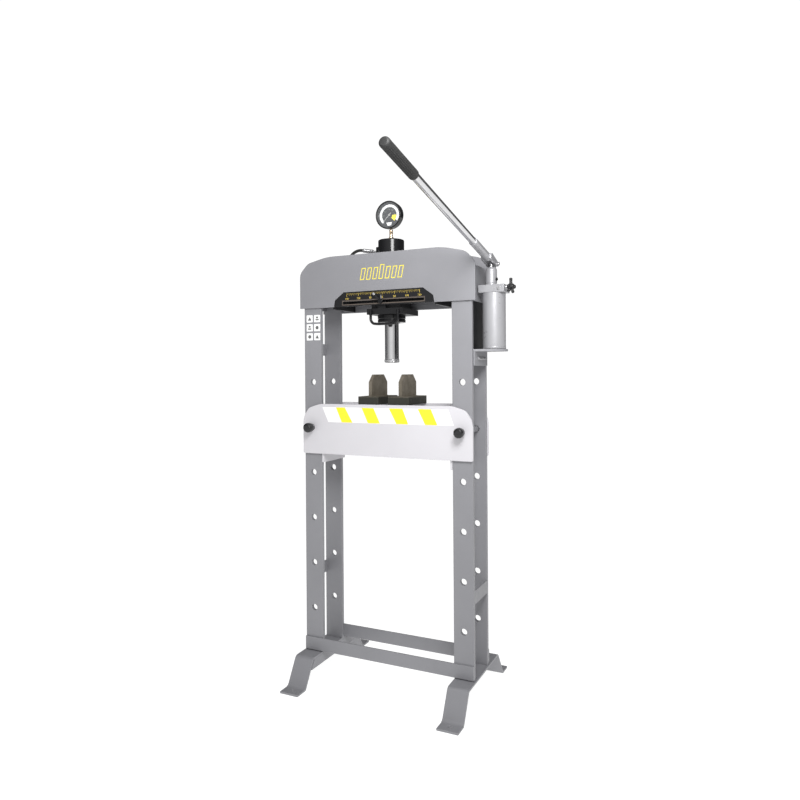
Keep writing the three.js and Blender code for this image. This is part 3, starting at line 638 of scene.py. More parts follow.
def foot(s):
    front_outer, front_inner = foot_end(*FOOT_ENDS[0], -1)
    rear_outer, rear_inner = foot_end(*FOOT_ENDS[1], 1)
    outline = [*rear_outer, *front_outer[::-1], *front_inner, *rear_inner[::-1]]
    strap = plate("yz", eased(outline, 0, 6, closed=True), span_of(s, FOOT_IN, FOOT_OUT), (), 1.0)
    obj = bpy.data.objects.new("strap", strap)
    scene.collection.objects.link(obj)
    drills = []
    hole = [(0, -2), (ANCHOR_R, -2), (ANCHOR_R, FOOT_THICK - 0.6), (ANCHOR_RIM_R, FOOT_THICK + 0.4),
            (ANCHOR_RIM_R, FOOT_THICK + 3), (0, FOOT_THICK + 3)]
    for (_, pad, tip), f in zip(FOOT_ENDS, (-1, 1)):
        drills.append(lathe(hole, "z", (s * (FOOT_IN + FOOT_OUT) / 2, f * (pad + tip) / 2, 0), 40, 0))
    drill = bpy.data.objects.new("drill", merged(*drills))
    scene.collection.objects.link(drill)
    cut = obj.modifiers.new("cut", "BOOLEAN")
    cut.operation, cut.solver, cut.object = "DIFFERENCE", "EXACT", drill
    mesh = evaluated_mesh(obj)
    bpy.data.objects.remove(drill)
    return mesh


for side, s in SIDES:
    piece(f"strap_foot_{side}", foot(s), GREY, "frame", [f"foot_{side}"], 25)

# ---------------------------------------------------------------- head

HEAD_NEAR, HEAD_FAR = 81.3, 89.3
HEAD_CORNERS = [(360, 1566, 16), (324, 1604, 14), (238, 1624, 30)]
WINDOW = [(164, 1484), (203, 1455), (207, 1430)]
front_outline = eased(mirrored([*WINDOW, (360, 1430), *HEAD_CORNERS]), 0, 8, closed=True)
rear_outline = eased(mirrored([(360, 1420), *HEAD_CORNERS]), 0, 8, closed=True)
piece("cover_head_front", plate("xz", front_outline, (-HEAD_FAR, -HEAD_NEAR), (), 1.2, 3), GREY,
      "frame", ["head_plate_front"])
piece("cover_head_rear", plate("xz", rear_outline, (HEAD_NEAR, HEAD_FAR), (), 1.2, 3), GREY,
      "frame", ["head_plate_rear"])

# Scale plate: black, with a ruler along its top and a lined slot for the lock lever below.
SCALE_FRONT, SLOT_Z, SLOT_HALF = -88.3, 1443.5, 168
scale_outline = mirrored([(163.5, 1483.5, 3), (202.5, 1454.8, 2), (206.5, 1430, 1)])
slot_ring = eased([(-SLOT_HALF, SLOT_Z - 5.5), (SLOT_HALF, SLOT_Z - 5.5), (SLOT_HALF, SLOT_Z + 5.5),
                   (-SLOT_HALF, SLOT_Z + 5.5)], 3, closed=True)
piece("ruler_plate", plate("xz", eased(scale_outline, 0, closed=True), (SCALE_FRONT, SCALE_FRONT + 6),
                           [slot_ring], 0.7),
      BLACK_SATIN, "frame", ["scale_plate"])

RULER_END, TICK_TOP, FIGURE_Z = 150, 1479, 1458.5
ticks = []
for mark in range(-RULER_END, RULER_END + 1, 5):
    length = 12 if mark % 50 == 0 else 8.5 if mark % 10 == 0 else 6
    half = 0.55 if mark % 50 == 0 else 0.36
    tick = [(mark - half, TICK_TOP - length), (mark + half, TICK_TOP - length),
            (mark + half, TICK_TOP), (mark - half, TICK_TOP)]
    ticks.append(decal("xz", tick, SCALE_FRONT))
printed("ruler_ticks", ticks, OCHRE_INK)
figures = [lettering(str(abs(n)), 10.5, n, FIGURE_Z, SCALE_FRONT - 0.05)
           for n in range(-RULER_END, RULER_END + 1, 50)]
printed("ruler_figures", figures, OCHRE_INK)
LINER_X, LINER_Z = SLOT_HALF + 3, 9.5
liner = [(-LINER_X, SLOT_Z - LINER_Z), (LINER_X, SLOT_Z - LINER_Z), (LINER_X, SLOT_Z + LINER_Z),
         (-LINER_X, SLOT_Z + LINER_Z)]
printed("ruler_liner", [decal("xz", liner, SCALE_FRONT, [slot_ring])], LINER_INK)

# Emblem on the head: a plain made-up row of outlined slanted bars, the middle one taller.
EMBLEM_LINE = 2.4


def outlined(points, face, line=EMBLEM_LINE):
    """The outline of a convex shape as a thin printed line."""
    middle = Vector((sum(p[0] for p in points), sum(p[1] for p in points))) / len(points)
    inner = []
    count = len(points)
    for i in range(count):
        a, b, c = (Vector(points[(i + k) % count]) for k in (-1, 0, 1))
        before, after = (b - a).normalized(), (c - b).normalized()
        turn = before.cross(after)
        inner.append(tuple(b + (after - before) * line / turn if abs(turn) > 0.05
                           else b.lerp(middle, 0.05)))
    return decal("xz", points, face, [inner])


def slanted(x, z, width, height, lean=9):
    return [(x, z), (x + width, z), (x + width + lean, z + height), (x + lean, z + height)]


BAR_START, BAR_PITCH, BAR_LOW, BAR_WIDTH = -93, 26, 1526, 17
BAR_HEIGHTS = (44, 44, 44, 53, 44, 44, 44)
bars = [outlined(slanted(BAR_START + BAR_PITCH * n, BAR_LOW, BAR_WIDTH, height), -HEAD_FAR)
        for n, height in enumerate(BAR_HEIGHTS)]
printed("emblem", bars, YELLOW_INK)

# Six plain stickers on the left front post: a disc, a triangle or two bars on each.
STICKER_X, STICKER_Z, STICKER, STICKER_PITCH = -335.5, 1306, 28, (34, 35)
tiles, inks = [], []
for column in (0, 1):
    for line in (0, 1, 2):
        x, z = STICKER_X + column * STICKER_PITCH[0], STICKER_Z + line * STICKER_PITCH[1]
        corners = [(x, z), (x + STICKER, z), (x + STICKER, z + STICKER), (x, z + STICKER)]
        tiles.append(decal("xz", eased(corners, 2.5, 3, closed=True), -POST_FAR))
        cx, cz = x + STICKER / 2, z + STICKER / 2
        shapes = (
            [ring_points(cx, cz, 7, 24)],
            [[(cx - 8, cz - 7), (cx + 8, cz - 7), (cx, cz + 7)]],
            [[(cx - 7, cz - 7), (cx + 7, cz - 7), (cx + 7, cz - 2), (cx - 7, cz - 2)],
             [(cx - 4, cz + 1), (cx + 4, cz + 1), (cx + 4, cz + 8), (cx - 4, cz + 8)]],
        )[(column + 2 * line) % 3]
        inks.extend(decal("xz", shape, -POST_FAR - 0.18, (), 0.1) for shape in shapes)
printed("sticker_tiles", tiles, WHITE_INK)
printed("sticker_signs", inks, STICKER_INK)

# ---------------------------------------------------------------- bed

BED_NEAR, BED_FAR = 81.3, 90.3
BED_CORNERS = [(348, 868, 6), (348, 1008, 22), (322, 1045, 14), (271, 1060, 8)]
bed_outline = eased(mirrored(BED_CORNERS), 0, 8, closed=True)
bed_holes = [ring_points(s * HOLE_X, BED_PIN_Z, HOLE_R) for _, s in SIDES]
for face, f in FACES:
    mesh = plate("xz", bed_outline, span_of(f, BED_NEAR, BED_FAR), bed_holes, 1.2, 3)
    piece(f"side_bed_{face}", mesh, LIGHT, "frame", [f"bed_plate_{face}"])
for side, _ in SIDES:
    keep(f"bed_cheek_{side}", LIGHT)

BAND_LOW, BAND_HIGH = 991, 1048
band = [(-234, BAND_LOW), (279, BAND_LOW), (258, BAND_HIGH), (-260, BAND_HIGH)]
printed("band_white", [decal("xz", band, -BED_FAR)], WHITE_INK)
STRIPES = ((-200, -161, -175, -128), (-89, -39, -63, -12), (25, 80, 55, 103), (141, 192, 169, 217))
STRIPE_LOW, STRIPE_HIGH = BAND_LOW + 0.4, BAND_HIGH - 0.4
stripes = [decal("xz", [(c, STRIPE_LOW), (d, STRIPE_LOW), (b, STRIPE_HIGH), (a, STRIPE_HIGH)],
                 -BED_FAR - 0.18, (), 0.1) for a, b, c, d in STRIPES]
printed("band_stripes", stripes, YELLOW_INK)

for side, s in SIDES:
    body = f"bed_pin_{side}"
    centre = (s * HOLE_X, 0, BED_PIN_Z)
    pin = [(0, -95.7), (11, -95.7), (11, 96), (9, 98), (0, 98)]
    piece(f"rod_{side}", lathe(pin, "y", centre, 64), TURNED, body, [f"bed_pin_{side}"])
    knob = [(0, -132.2), (9, -132.6), (14.5, -131), (17.8, -126), (18.5, -119), (18.2, -110),
            (16.6, -103.5), (13.4, -99.5), (13, -96.2), (0, -96)]
    piece(f"cap_{side}", lathe(knob, "y", centre, 72, 2.2), PLASTIC, body, [f"pin_knob_{side}"])

for side, _ in SIDES:
    keep(f"v_block_{side}", CAST, 1.8)

# ---------------------------------------------------------------- carriage, cylinder and ram

CYLINDER_X = -5
keep("carriage", BLACK_SATIN, 1.0)

BORE_R, CYLINDER_R, GLAND_R = 38, 49.5, 53
GLAND_TOP, BORE_TOP, CYLINDER_TOP = 1396.2, 1664, 1682
PORT_Z = 1647
cylinder_axis = (CYLINDER_X, 0, 0)
body_low = GLAND_TOP + 0.3
body_profile = [(BORE_R, body_low), (CYLINDER_R, body_low, 1.2), (CYLINDER_R, CYLINDER_TOP, 4),
                (0, CYLINDER_TOP), (0, BORE_TOP), (BORE_R, BORE_TOP), (BORE_R, body_low)]
body_mesh = lathe(body_profile, "z", cylinder_axis, 128)
port_boss = block((CYLINDER_X - 60, CYLINDER_X - 40), (-12, 12), (PORT_Z - 13, PORT_Z + 13), 2.5, 3)
piece("barrel_cylinder", merged(body_mesh, port_boss), BLACK, "carriage", ["cylinder_body"])
GLAND_LOW, GLAND_BORE_R, GROOVE_R = 1368, 27, GLAND_R - 1.2
gland_profile = [(GLAND_BORE_R, GLAND_LOW), (GLAND_R, GLAND_LOW, 2.5), (GLAND_R, 1378), (GROOVE_R, 1379.2),
                 (GROOVE_R, 1382), (GLAND_R, 1383.2), (GLAND_R, GLAND_TOP), (GLAND_BORE_R, GLAND_TOP),
                 (GLAND_BORE_R, GLAND_LOW)]
piece("collar_gland", lathe(gland_profile, "z", cylinder_axis, 128), BLACK, "carriage",
      ["cylinder_gland"])
wiper = [(27.2, 1366.4), (31.5, 1366.4), (33, 1367.9), (27.2, 1367.9), (27.2, 1366.4)]
piece("wiper_ring", lathe(wiper, "z", cylinder_axis, 96, 0.4), RUBBER, "carriage")
RAM_R, RAM_LOW = 26.5, 1229.3
PISTON_R, PISTON_LOW, PISTON_HIGH = BORE_R - 0.5, 1495, 1525
ram_profile = [(0, RAM_LOW), (RAM_R, RAM_LOW, 1), (RAM_R, PISTON_LOW), (PISTON_R, PISTON_LOW),
               (PISTON_R, PISTON_HIGH), (0, PISTON_HIGH)]
piece("rod_ram", lathe(ram_profile, "z", cylinder_axis, 128), CHROME, "ram", ["ram"])

# The return spring stands between the gland and the piston, and changes length with the ram.
SPRING_R, SPRING_WIRE_R, SPRING_TURNS, TURN_STEPS = 32.2, 2.6, 7, 32
spring_low, spring_high = body_low + SPRING_WIRE_R + 1, PISTON_LOW - SPRING_WIRE_R - 1
coil = [Vector((CYLINDER_X + SPRING_R * math.cos(TAU * t), SPRING_R * math.sin(TAU * t),
                spring_low + (spring_high - spring_low) * t / SPRING_TURNS))
        for t in (k / TURN_STEPS for k in range(TURN_STEPS * SPRING_TURNS + 1))]
spring = piece("coil_spring", tube(coil, SPRING_WIRE_R, 14), STEEL, None, ["return_spring"],
               weighted=False)
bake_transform(spring)

saddle_profile = [(0, 1216), (RAM_R, 1216, 1), (28.5, 1218.2, 1), (28.5, 1221), (27.9, 1221.6),
                  (27.9, 1222.8), (28.5, 1223.4), (28.5, 1228, 0.8), (27.4, 1229, 0.5), (0, 1229)]
piece("foot_saddle", lathe(saddle_profile, "z", cylinder_axis, 128, 0.3), TURNED, "ram", ["ram_saddle"])

# Carriage handle: a bail under the carriage, the same on both sides of its middle.
BAIL_X, BAIL_Y, BAIL_R = CYLINDER_X + 10, -84, 5
half_bail = [(56, 1412), (56, 1390), (55, 1374), (46, 1363), (30, 1360)]
bail = [*[(-x, z) for x, z in half_bail], (0, 1359.5), *reversed(half_bail)]
bail_path = smooth_path([(BAIL_X + x, BAIL_Y, z) for x, z in bail])
piece("bail_handle", tube(bail_path, BAIL_R, 28), BLACK, "carriage", ["carriage_handle"])

# Lock lever: a stud through the slot, a turned hub and an arm up to the left with a bright tip.
HUB_FRONT = -100
lock_centre = (CYLINDER_X, 0, SLOT_Z)
hub = [(0, -62), (4, -62), (4, -90), (9, -90, 0.8), (9, HUB_FRONT, 1.5), (0, HUB_FRONT)]
arm_frame = Matrix.Translation((CYLINDER_X, -95, SLOT_Z)) @ Matrix.Rotation(-math.pi / 4, 4, "Y")
arm = moved(lathe([(0, 0), (4.4, 0), (4.0, 18), (4.4, 33), (0, 33)], segments=32), arm_frame)
tip = moved(lathe([(0, 32.6), (4.2, 32.6), (4.4, 42, 1), (3, 44, 1), (0, 44)], segments=32), arm_frame)
piece("handle_lock", merged(lathe(hub, "y", lock_centre, 48), arm), BLACK, "lock_lever", ["lock_lever"])
piece("handle_lock_tip", tip, STEEL, "lock_lever")

# Index pointer: a washer round the lock lever's stud, with a thin tongue up to the ruler.
INDEX_R = 7.5
index = [(CYLINDER_X + INDEX_R * math.cos(a), SLOT_Z + INDEX_R * math.sin(a))
         for a in (math.radians(110 + 320 * i / 24) for i in range(25))]
index += [(CYLINDER_X + 1.2, SLOT_Z + 23), (CYLINDER_X - 1.2, SLOT_Z + 23)]
index_plate = plate("xz", index, (-89.8, -88.8), [ring_points(CYLINDER_X, SLOT_Z, 4.3, 24)], 0.2, 1)
piece("pointer_index", index_plate, STEEL, "carriage")

# Hose: a crimped ferrule, tilted up a little, then one smooth run inside the head to the pump.
NIPPLE_END, FERRULE_END, FERRULE_RISE = -17, -62, math.radians(9.8)
FERRULE_ROOT = (CYLINDER_X - 60, 0, PORT_Z - 4.5)
FERRULE_R, CRIMP_R, NIPPLE_R = 7.7, 7.1, 4.3
crimps = [point for d in range(-30, -54, -4)
          for point in ((FERRULE_R, d), (CRIMP_R, d - 1), (FERRULE_R, d - 2))]
ferrule = [(0, -1.2), (6.0, -1.2), (6.0, -4), (NIPPLE_R, -5), (NIPPLE_R, NIPPLE_END), (7.3, -18.5),
           (FERRULE_R, -20), *crimps, (FERRULE_R, FERRULE_END + 1), (6.6, FERRULE_END), (0, FERRULE_END)]
ferrule_place = Matrix.Translation(FERRULE_ROOT) @ Matrix.Rotation(FERRULE_RISE, 4, "Y")
piece("crimp_ferrule", moved(lathe(ferrule, "x", segments=48, reach=0.4), ferrule_place), STEEL,
      "carriage", ["hose_ferrule"])
HOSE_START = ferrule_place @ Vector((FERRULE_END - 0.9, 0, 0))
HOSE_ROUTE = [
    tuple(HOSE_START), (-138, 0, 1654.7), (-150, 0, 1653.8), (-163, 1, 1650), (-176, 4, 1643.5),
    (-189, 10, 1632.5), (-199, 19, 1617), (-204, 31, 1598), (-202, 44, 1577), (-191, 54, 1558),
    (-171, 61, 1546), (-145, 64, 1540.5), (-115, 65, 1539), (-80, 66, 1539), (-40, 66, 1539), (0, 66, 1539),
    (50, 65, 1538), (98, 61, 1535), (142, 52, 1526), (182, 38, 1512), (220, 22, 1496), (258, 8, 1481),
    (295, 0, 1473), (317, 0, 1473),
]
HOSE_DIAMETER = 11.5
hose_path = smooth_path(HOSE_ROUTE)
hose = piece("hose_skin", tube(hose_path, HOSE_DIAMETER / 2, 28), HOSE_SKIN, None, ["hose"],
             weighted=False)
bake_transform(hose)

# ---------------------------------------------------------------- gauge

GAUGE_Y, GAUGE_Z = -8, 1775
gauge_centre = (CYLINDER_X, GAUGE_Y, GAUGE_Z)
case_profile = [(49, -18), (51, -19, 1), (53, -17, 1), (53, -9, 0.8), (51.5, -8), (51.5, 11, 2),
                (48, 16, 2), (0, 16), (0, 13), (49, 13), (49, -18)]
piece("case_gauge", lathe(case_profile, "y", gauge_centre, 128, 0.4), BLACK, "carriage", ["gauge_case"])
DISC_R = 48.7  # of the dial and the lens
piece("face_gauge", lathe([(0, -7), (DISC_R, -7), (DISC_R, -5.5), (0, -5.5)], "y", gauge_centre, 96, 0.2),
      DIAL_FACE, "carriage", ["gauge_dial"])
piece("glass_gauge", lathe([(0, -16), (DISC_R, -16), (DISC_R, -14), (0, -14)], "y", gauge_centre, 96, 0.3),
      GLASS, "carriage", ["gauge_lens"])
DIAL_FRONT = GAUGE_Y - 7


def dial_point(radius, degrees):
    """A point of the dial, clockwise from its top as the operator sees it."""
    angle = math.radians(degrees)
    return (CYLINDER_X + radius * math.sin(angle), GAUGE_Z + radius * math.cos(angle))


def arc_band(inner, outer, start, end, steps=40):
    """A band of the dial between two radii and two angles."""
    angles = [start + (end - start) * i / steps for i in range(steps + 1)]
    return [*[dial_point(outer, a) for a in angles], *[dial_point(inner, a) for a in reversed(angles)]]


ARC_IN, ARC_OUT, ARC_START, SCALE_SPAN, FULL_SCALE = 31, 40.5, -138, 262, 30
TICK_R, TICK_HALF, FIGURE_R = 30.6, 0.9, 22.5


def scale_angle(value):
    return ARC_START + SCALE_SPAN * value / FULL_SCALE


arc = arc_band(ARC_IN, ARC_OUT, ARC_START, scale_angle(FULL_SCALE))
printed("dial_arc", [decal("xz", arc, DIAL_FRONT)], WHITE_INK, "carriage")
dial_ticks = []
for n in range(FULL_SCALE + 1):
    angle = scale_angle(n)
    tick = arc_band(28 if n % 5 == 0 else 29, TICK_R, angle - TICK_HALF, angle + TICK_HALF, 1)
    dial_ticks.append(decal("xz", tick, DIAL_FRONT))
printed("dial_ticks", dial_ticks, PALE_INK, "carriage")
dial_figures = [lettering(str(n), 8, *dial_point(FIGURE_R, scale_angle(n)), DIAL_FRONT - 0.1)
                for n in range(0, FULL_SCALE - 4, 5)]
printed("dial_figures", dial_figures, PALE_INK, "carriage")
sector = arc_band(12.5, 30.5, 90, 138, 12)
printed("dial_sector", [decal("xz", sector, DIAL_FRONT - 0.2, (), 0.1)], YELLOW_INK, "carriage")
badge = [(CYLINDER_X - 12, GAUGE_Z - 27), (CYLINDER_X + 12, GAUGE_Z - 27), (CYLINDER_X + 7, GAUGE_Z - 39),
         (CYLINDER_X - 7, GAUGE_Z - 39)]
printed("dial_badge", [decal("xz", badge, DIAL_FRONT)], WHITE_INK, "carriage")
needle_turn = Matrix.Translation(gauge_centre) @ Matrix.Rotation(math.radians(-135), 4, "Y")
pointer_outline = [(-1.5, -12), (1.5, -12), (2, 0), (0.5, 38), (-0.5, 38), (-2, 0)]
pointer = plate("xz", pointer_outline, (-10.5, -9.5), (), 0.15, 1)
needle_hub = lathe([(0, -11), (4, -11), (4, -7.3), (0, -7.3)], "y", gauge_centre, 32)
piece("hand_gauge", merged(moved(pointer, needle_turn), needle_hub), NEEDLE_PAINT, "gauge_needle",
      ["gauge_needle"], weighted=False)

# Stem: a hexagon on the cylinder, a neck, a smaller hexagon and the gauge's own thread.
neck = [(0, 1690.5), (8, 1690.5), (8, 1695), (6.4, 1696), (6.4, 1705.5), (0, 1705.5)]
stem = merged(
    prism(6, 24, "z", cylinder_axis, (CYLINDER_TOP + 0.3, 1691)),
    lathe(neck, "z", cylinder_axis, 48),
    prism(6, 15.5, "z", cylinder_axis, (1705, 1716)),
    lathe([(0, 1715.5), (7, 1715.5), (7, 1721.7), (0, 1721.7)], "z", cylinder_axis, 48),
)
piece("neck_gauge", stem, BRASS, "carriage", ["gauge_stem"])

# ---------------------------------------------------------------- pump

keep("pump_mount_plate", BLACK_SATIN)
PUMP_X, TANK_R, SHELF_R, SHELF_TOP = 400, 41.5, 48, 1260
SHELF_IN = POST_OUT + 0.3
shelf = [(SHELF_IN, -70), (368, -60)]
shelf += [(PUMP_X + SHELF_R * math.cos(a), SHELF_R * math.sin(a))
          for a in (math.radians(-69 + 138 * i / 32) for i in range(33))]
shelf += [(368, 60), (SHELF_IN, 70)]
bracket = merged(
    block((SHELF_IN, 351.3), (-70, 70), (1202, 1254), 0.9),
    plate("xy", shelf, (1252, SHELF_TOP), (), 0.9),
)
piece("shelf_pump", bracket, GREY, "frame", ["pump_bracket"])
clamp_bar = block((351.4, 354.4), (-41.5, 41.5), (1223.5, 1232.5), 0.8)
bolt_heads = [prism(6, 12, "x", (0, y, 1228), (354.2, 358.5), 0.7) for y in (-32, 32)]
piece("bolts_shelf", merged(clamp_bar, *bolt_heads), STEEL, "frame")

BLOCK_LOW, BLOCK_TOP, KNOB_Z, PORT_HEIGHT = 1459, 1487, 1478, 1473
tank_low, tank_top, wall_r = SHELF_TOP + 0.3, BLOCK_LOW - 0.3, TANK_R - 0.4
tank = [(0, tank_low), (39, tank_low), (TANK_R, 1262.5, 1), (TANK_R, 1268), (wall_r, 1268.8),
        (wall_r, 1452), (TANK_R, 1452.8), (TANK_R, tank_top), (0, tank_top)]
piece("tank_pump", lathe(tank, "z", (PUMP_X, 0, 0), 128, 0.6), SILVER, "frame", ["pump_reservoir"])

pump_block = block((353, 447), (-36, 36), (BLOCK_LOW, BLOCK_TOP), 2.2, 3)
piece("block_pump", pump_block, SILVER, "frame", ["pump_block"])
seat = lathe([(0, 446.5), (9, 446.5), (9, 450), (7.5, 451.2), (0, 451.2)], "x", (0, 0, KNOB_Z), 48, 0.5)
plug = prism(6, 13, "y", (428, 0, PORT_HEIGHT), (-40, -35.5), 0.6)
piece("seat_valve", merged(seat, plug), STEEL, "frame")

BARREL_X, BARREL_R, BARREL_BORE_R = 391, 20, 8.5
BARREL_LOW, BARREL_TOP = BLOCK_TOP + 0.3, 1551
barrel = [(BARREL_BORE_R, BARREL_LOW), (BARREL_R, BARREL_LOW), (BARREL_R, 1491, 0.6), (19, 1491.8),
          (19, 1494.2, 0.6), (BARREL_R, 1495), (BARREL_R, 1543, 2), (15, BARREL_TOP, 2),
          (BARREL_BORE_R, BARREL_TOP), (BARREL_BORE_R, BARREL_LOW)]
piece("barrel_pump", lathe(barrel, "z", (BARREL_X, 0, 0), 96), SILVER, "frame", ["pump_barrel"])
plug_profile = [(0, 19), (5.5, 19), (5.5, 23), (4.6, 24.8), (0, 25.4)]
side_plug = lathe(plug_profile, "x", (BARREL_X, -6, 1508), 32, 1)
piece("plug_barrel", side_plug, BLACK, "frame")
PLUNGER_R, PLUNGER_LOW, PLUNGER_TOP = 8, 1470, 1577
plunger = [(0, PLUNGER_LOW), (PLUNGER_R, PLUNGER_LOW), (PLUNGER_R, PLUNGER_TOP, 1.5), (0, PLUNGER_TOP)]
piece("rod_plunger", lathe(plunger, "z", (BARREL_X, 0, 0), 64), CHROME, "pump_plunger",
      ["pump_plunger"])
union = merged(
    lathe([(0, 318), (7, 318), (8.5, 320), (8.5, 345), (0, 345)], "x", (0, 0, PORT_HEIGHT), 48),
    prism(6, 17, "x", (0, 0, PORT_HEIGHT), (344.9, 352.7)),
)
piece("fitting_union", union, STEEL, "frame", ["pump_union"])

# Fulcrum: one upright link behind the barrel, cranked forward over it to carry the lever's pin.
FULCRUM_Y, FULCRUM_Z, LINK_HALF, PIN_R, PIN_HOLE_R = 17, 1564, 9.5, 5, 5.4
LINK_NEAR, LINK_TOP, CRANK_LOW = BARREL_R + 0.6, 1573, BARREL_TOP + 1.5
link_outline = eased([(LINK_NEAR, BARREL_LOW), (29, BARREL_LOW), (26, 1499, 4), (26, LINK_TOP, 8),
                      (8, LINK_TOP, 8), (8, CRANK_LOW, 1), (LINK_NEAR, CRANK_LOW, 1)], 0, 6, closed=True)
link_hole = ring_points(FULCRUM_Y, FULCRUM_Z, PIN_HOLE_R, 32)
link = plate("yz", link_outline, (BARREL_X - LINK_HALF, BARREL_X + LINK_HALF), [link_hole], 0.8)
piece("link_fulcrum", link, SILVER, "frame", ["fulcrum_link"])
pin_profile = [(0, -24), (7, -24), (7, -21), (PIN_R, -20.7), (PIN_R, 24), (4, 25), (0, 25)]
pin = lathe(pin_profile, "x", (BARREL_X, FULCRUM_Y, FULCRUM_Z), 48, 0.6)
COTTER_X, COTTER_R = BARREL_X + 22.5, 7
cotter_path = [(COTTER_X + 2 * math.cos(a), FULCRUM_Y - 1 - COTTER_R * math.sin(a),
                FULCRUM_Z + COTTER_R * math.cos(a)) for a in (math.radians(d) for d in range(-40, 221, 20))]
cotter = tube(smooth_path(cotter_path, 3), 1.0, 12)
piece("pin_fulcrum", merged(pin, cotter), STEEL, "frame", ["lever_pin"])

# Lever: drawn level, pointing to -Y from above the barrel, then tilted up.
LEVER_Z, LEVER_RISE, LEVER_LENGTH = 1572, math.radians(11.6), 868
TILT = Matrix.Translation((BARREL_X, 0, LEVER_Z)) @ Matrix.Rotation(-LEVER_RISE, 4, "X")
pivot = Matrix.Rotation(LEVER_RISE, 4, "X") @ Vector((0, FULCRUM_Y, FULCRUM_Z - LEVER_Z))
SOCKET_R, SOCKET_BORE_R, SOCKET_END, BORE_END = 14.7, 12.5, -200, -70
socket_profile = [(SOCKET_BORE_R, SOCKET_END), (SOCKET_R, SOCKET_END), (SOCKET_R, -44, 5), (0, -40),
                  (0, BORE_END), (SOCKET_BORE_R, BORE_END), (SOCKET_BORE_R, SOCKET_END)]
ear_outline = [(-60, -9.5), (-60, 9.5), (-48, 13)]
ear_outline += [(pivot.y + 9 * math.sin(a), pivot.z + 9 * math.cos(a))
                for a in (math.pi * i / 20 for i in range(21))]
ear_outline += [(-48, -13)]
ear_hole = ring_points(pivot.y, pivot.z, PIN_HOLE_R, 32)
ears = [plate("yz", ear_outline, span_of(s, 11, 19), [ear_hole], 0.8) for s in (-1, 1)]
web = block((-18.5, 18.5), (-56, -35), (-12, 12), 2.5, 3)
socket = merged(lathe(socket_profile, "y"), *ears, web)
piece("fork_lever", moved(socket, TILT), SILVER, "pump_lever", ["lever_socket"])
TUBE_R, TUBE_BORE_R, TUBE_START, TUBE_END = 12.2, 9.7, BORE_END - 0.3, -860
tube_profile = [(TUBE_BORE_R, TUBE_END), (TUBE_R, TUBE_END), (TUBE_R, TUBE_START),
                (TUBE_BORE_R, TUBE_START), (TUBE_BORE_R, TUBE_END)]
piece("bar_lever", moved(lathe(tube_profile, "y", reach=0.4), TILT), LEVER_CHROME, "pump_lever",
      ["lever_tube"])
GRIP_START, GRIP_END, GRIP_R, GRIP_BORE_R = -LEVER_LENGTH + 186, -LEVER_LENGTH, 15.5, 12.5
RIBS, RIB_DEPTH = 18, 0.075


def grip_ripple(angle, distance):
    """Lengthwise ribs between the plain collars at both ends."""
    inside = min(distance - GRIP_END, GRIP_START - distance)
    depth = RIB_DEPTH * min(1, max(0, (inside - 14) / 4))
    return 1 - depth * (0.5 - 0.5 * math.cos(RIBS * angle)) ** 2


grip = [(0, GRIP_END), (11.5, GRIP_END, 2), (GRIP_R, GRIP_END + 5, 3), (GRIP_R, GRIP_END + 12)]
grip += [(GRIP_R, GRIP_END + 15 + i * 12) for i in range(13)]
grip += [(GRIP_R, GRIP_START - 15), (GRIP_R, GRIP_START - 12), (GRIP_R, GRIP_START - 3, 2),
         (14, GRIP_START, 1), (GRIP_BORE_R, GRIP_START), (GRIP_BORE_R, GRIP_END + 7.5), (0, GRIP_END + 7.5)]
sleeve = lathe(grip, "y", segments=216, reach=0.4, ripple=grip_ripple)
piece("sleeve_grip", moved(sleeve, TILT), RUBBER, "pump_lever", ["lever_grip"], 60,
      weighted=False)

# Release knob: a screw with a hub and three stubby rounded arms.
ARM_X = 462
screw = [(0, 432), (5, 432), (5, 452), (10, 452, 1), (12, 455, 2), (12, 471, 3), (7, 474, 1), (7, 477, 1),
         (5, 479, 1), (0, 479)]
knob_parts = [lathe(screw, "x", (0, 0, KNOB_Z), 64, 0.6)]
for third in range(3):
    arm = lathe([(0, 2), (6.5, 2), (5.2, 20), (5.9, 29, 2), (4.6, 32, 1.6), (0, 32)], segments=40, reach=1)
    turn = Matrix.Translation((ARM_X, 0, KNOB_Z)) @ Matrix.Rotation(TAU * third / 3, 4, "X")
    knob_parts.append(moved(arm, turn))
piece("knob_release", merged(*knob_parts), PLASTIC, "release_knob", ["release_knob"])

# ---------------------------------------------------------------- floor, light and camera

HALF_FLOOR, FLOOR_DROP = 60, 0.0005  # metres


def pale_floor():
    """A pale matt floor that glows a little, so that it meets the white behind it with no line."""
    h = HALF_FLOOR
    mesh = bpy.data.meshes.new("floor")
    mesh.from_pydata([(-h, -h, 0), (h, -h, 0), (h, h, 0), (-h, h, 0)], [], [(0, 1, 2, 3)])
    floor = bpy.data.objects.new("floor", mesh)
    floor.location.z = -FLOOR_DROP
    scene.collection.objects.link(floor)
    material, nodes, links, shader = new_material("floor")
    drift = uneven(nodes, links, 2, 2, 0.28, 0.31)
    links.new(drift, shader.inputs["Base Color"])
    shader.inputs["Roughness"].default_value = 0.85
    shader.inputs["Emission Color"].default_value = (1, 1, 1, 1)
    shader.inputs["Emission Strength"].default_value = 0.92
    mesh.materials.append(material)


BRIGHT_AZIMUTH = math.radians(-74)
WALL_NARROWNESS, WALL_LIGHT, DIM_LIGHT = 4.0, 0.96, 0.07
CEILING_LIGHT, LEVEL_LIGHT = 0.15, 0.02


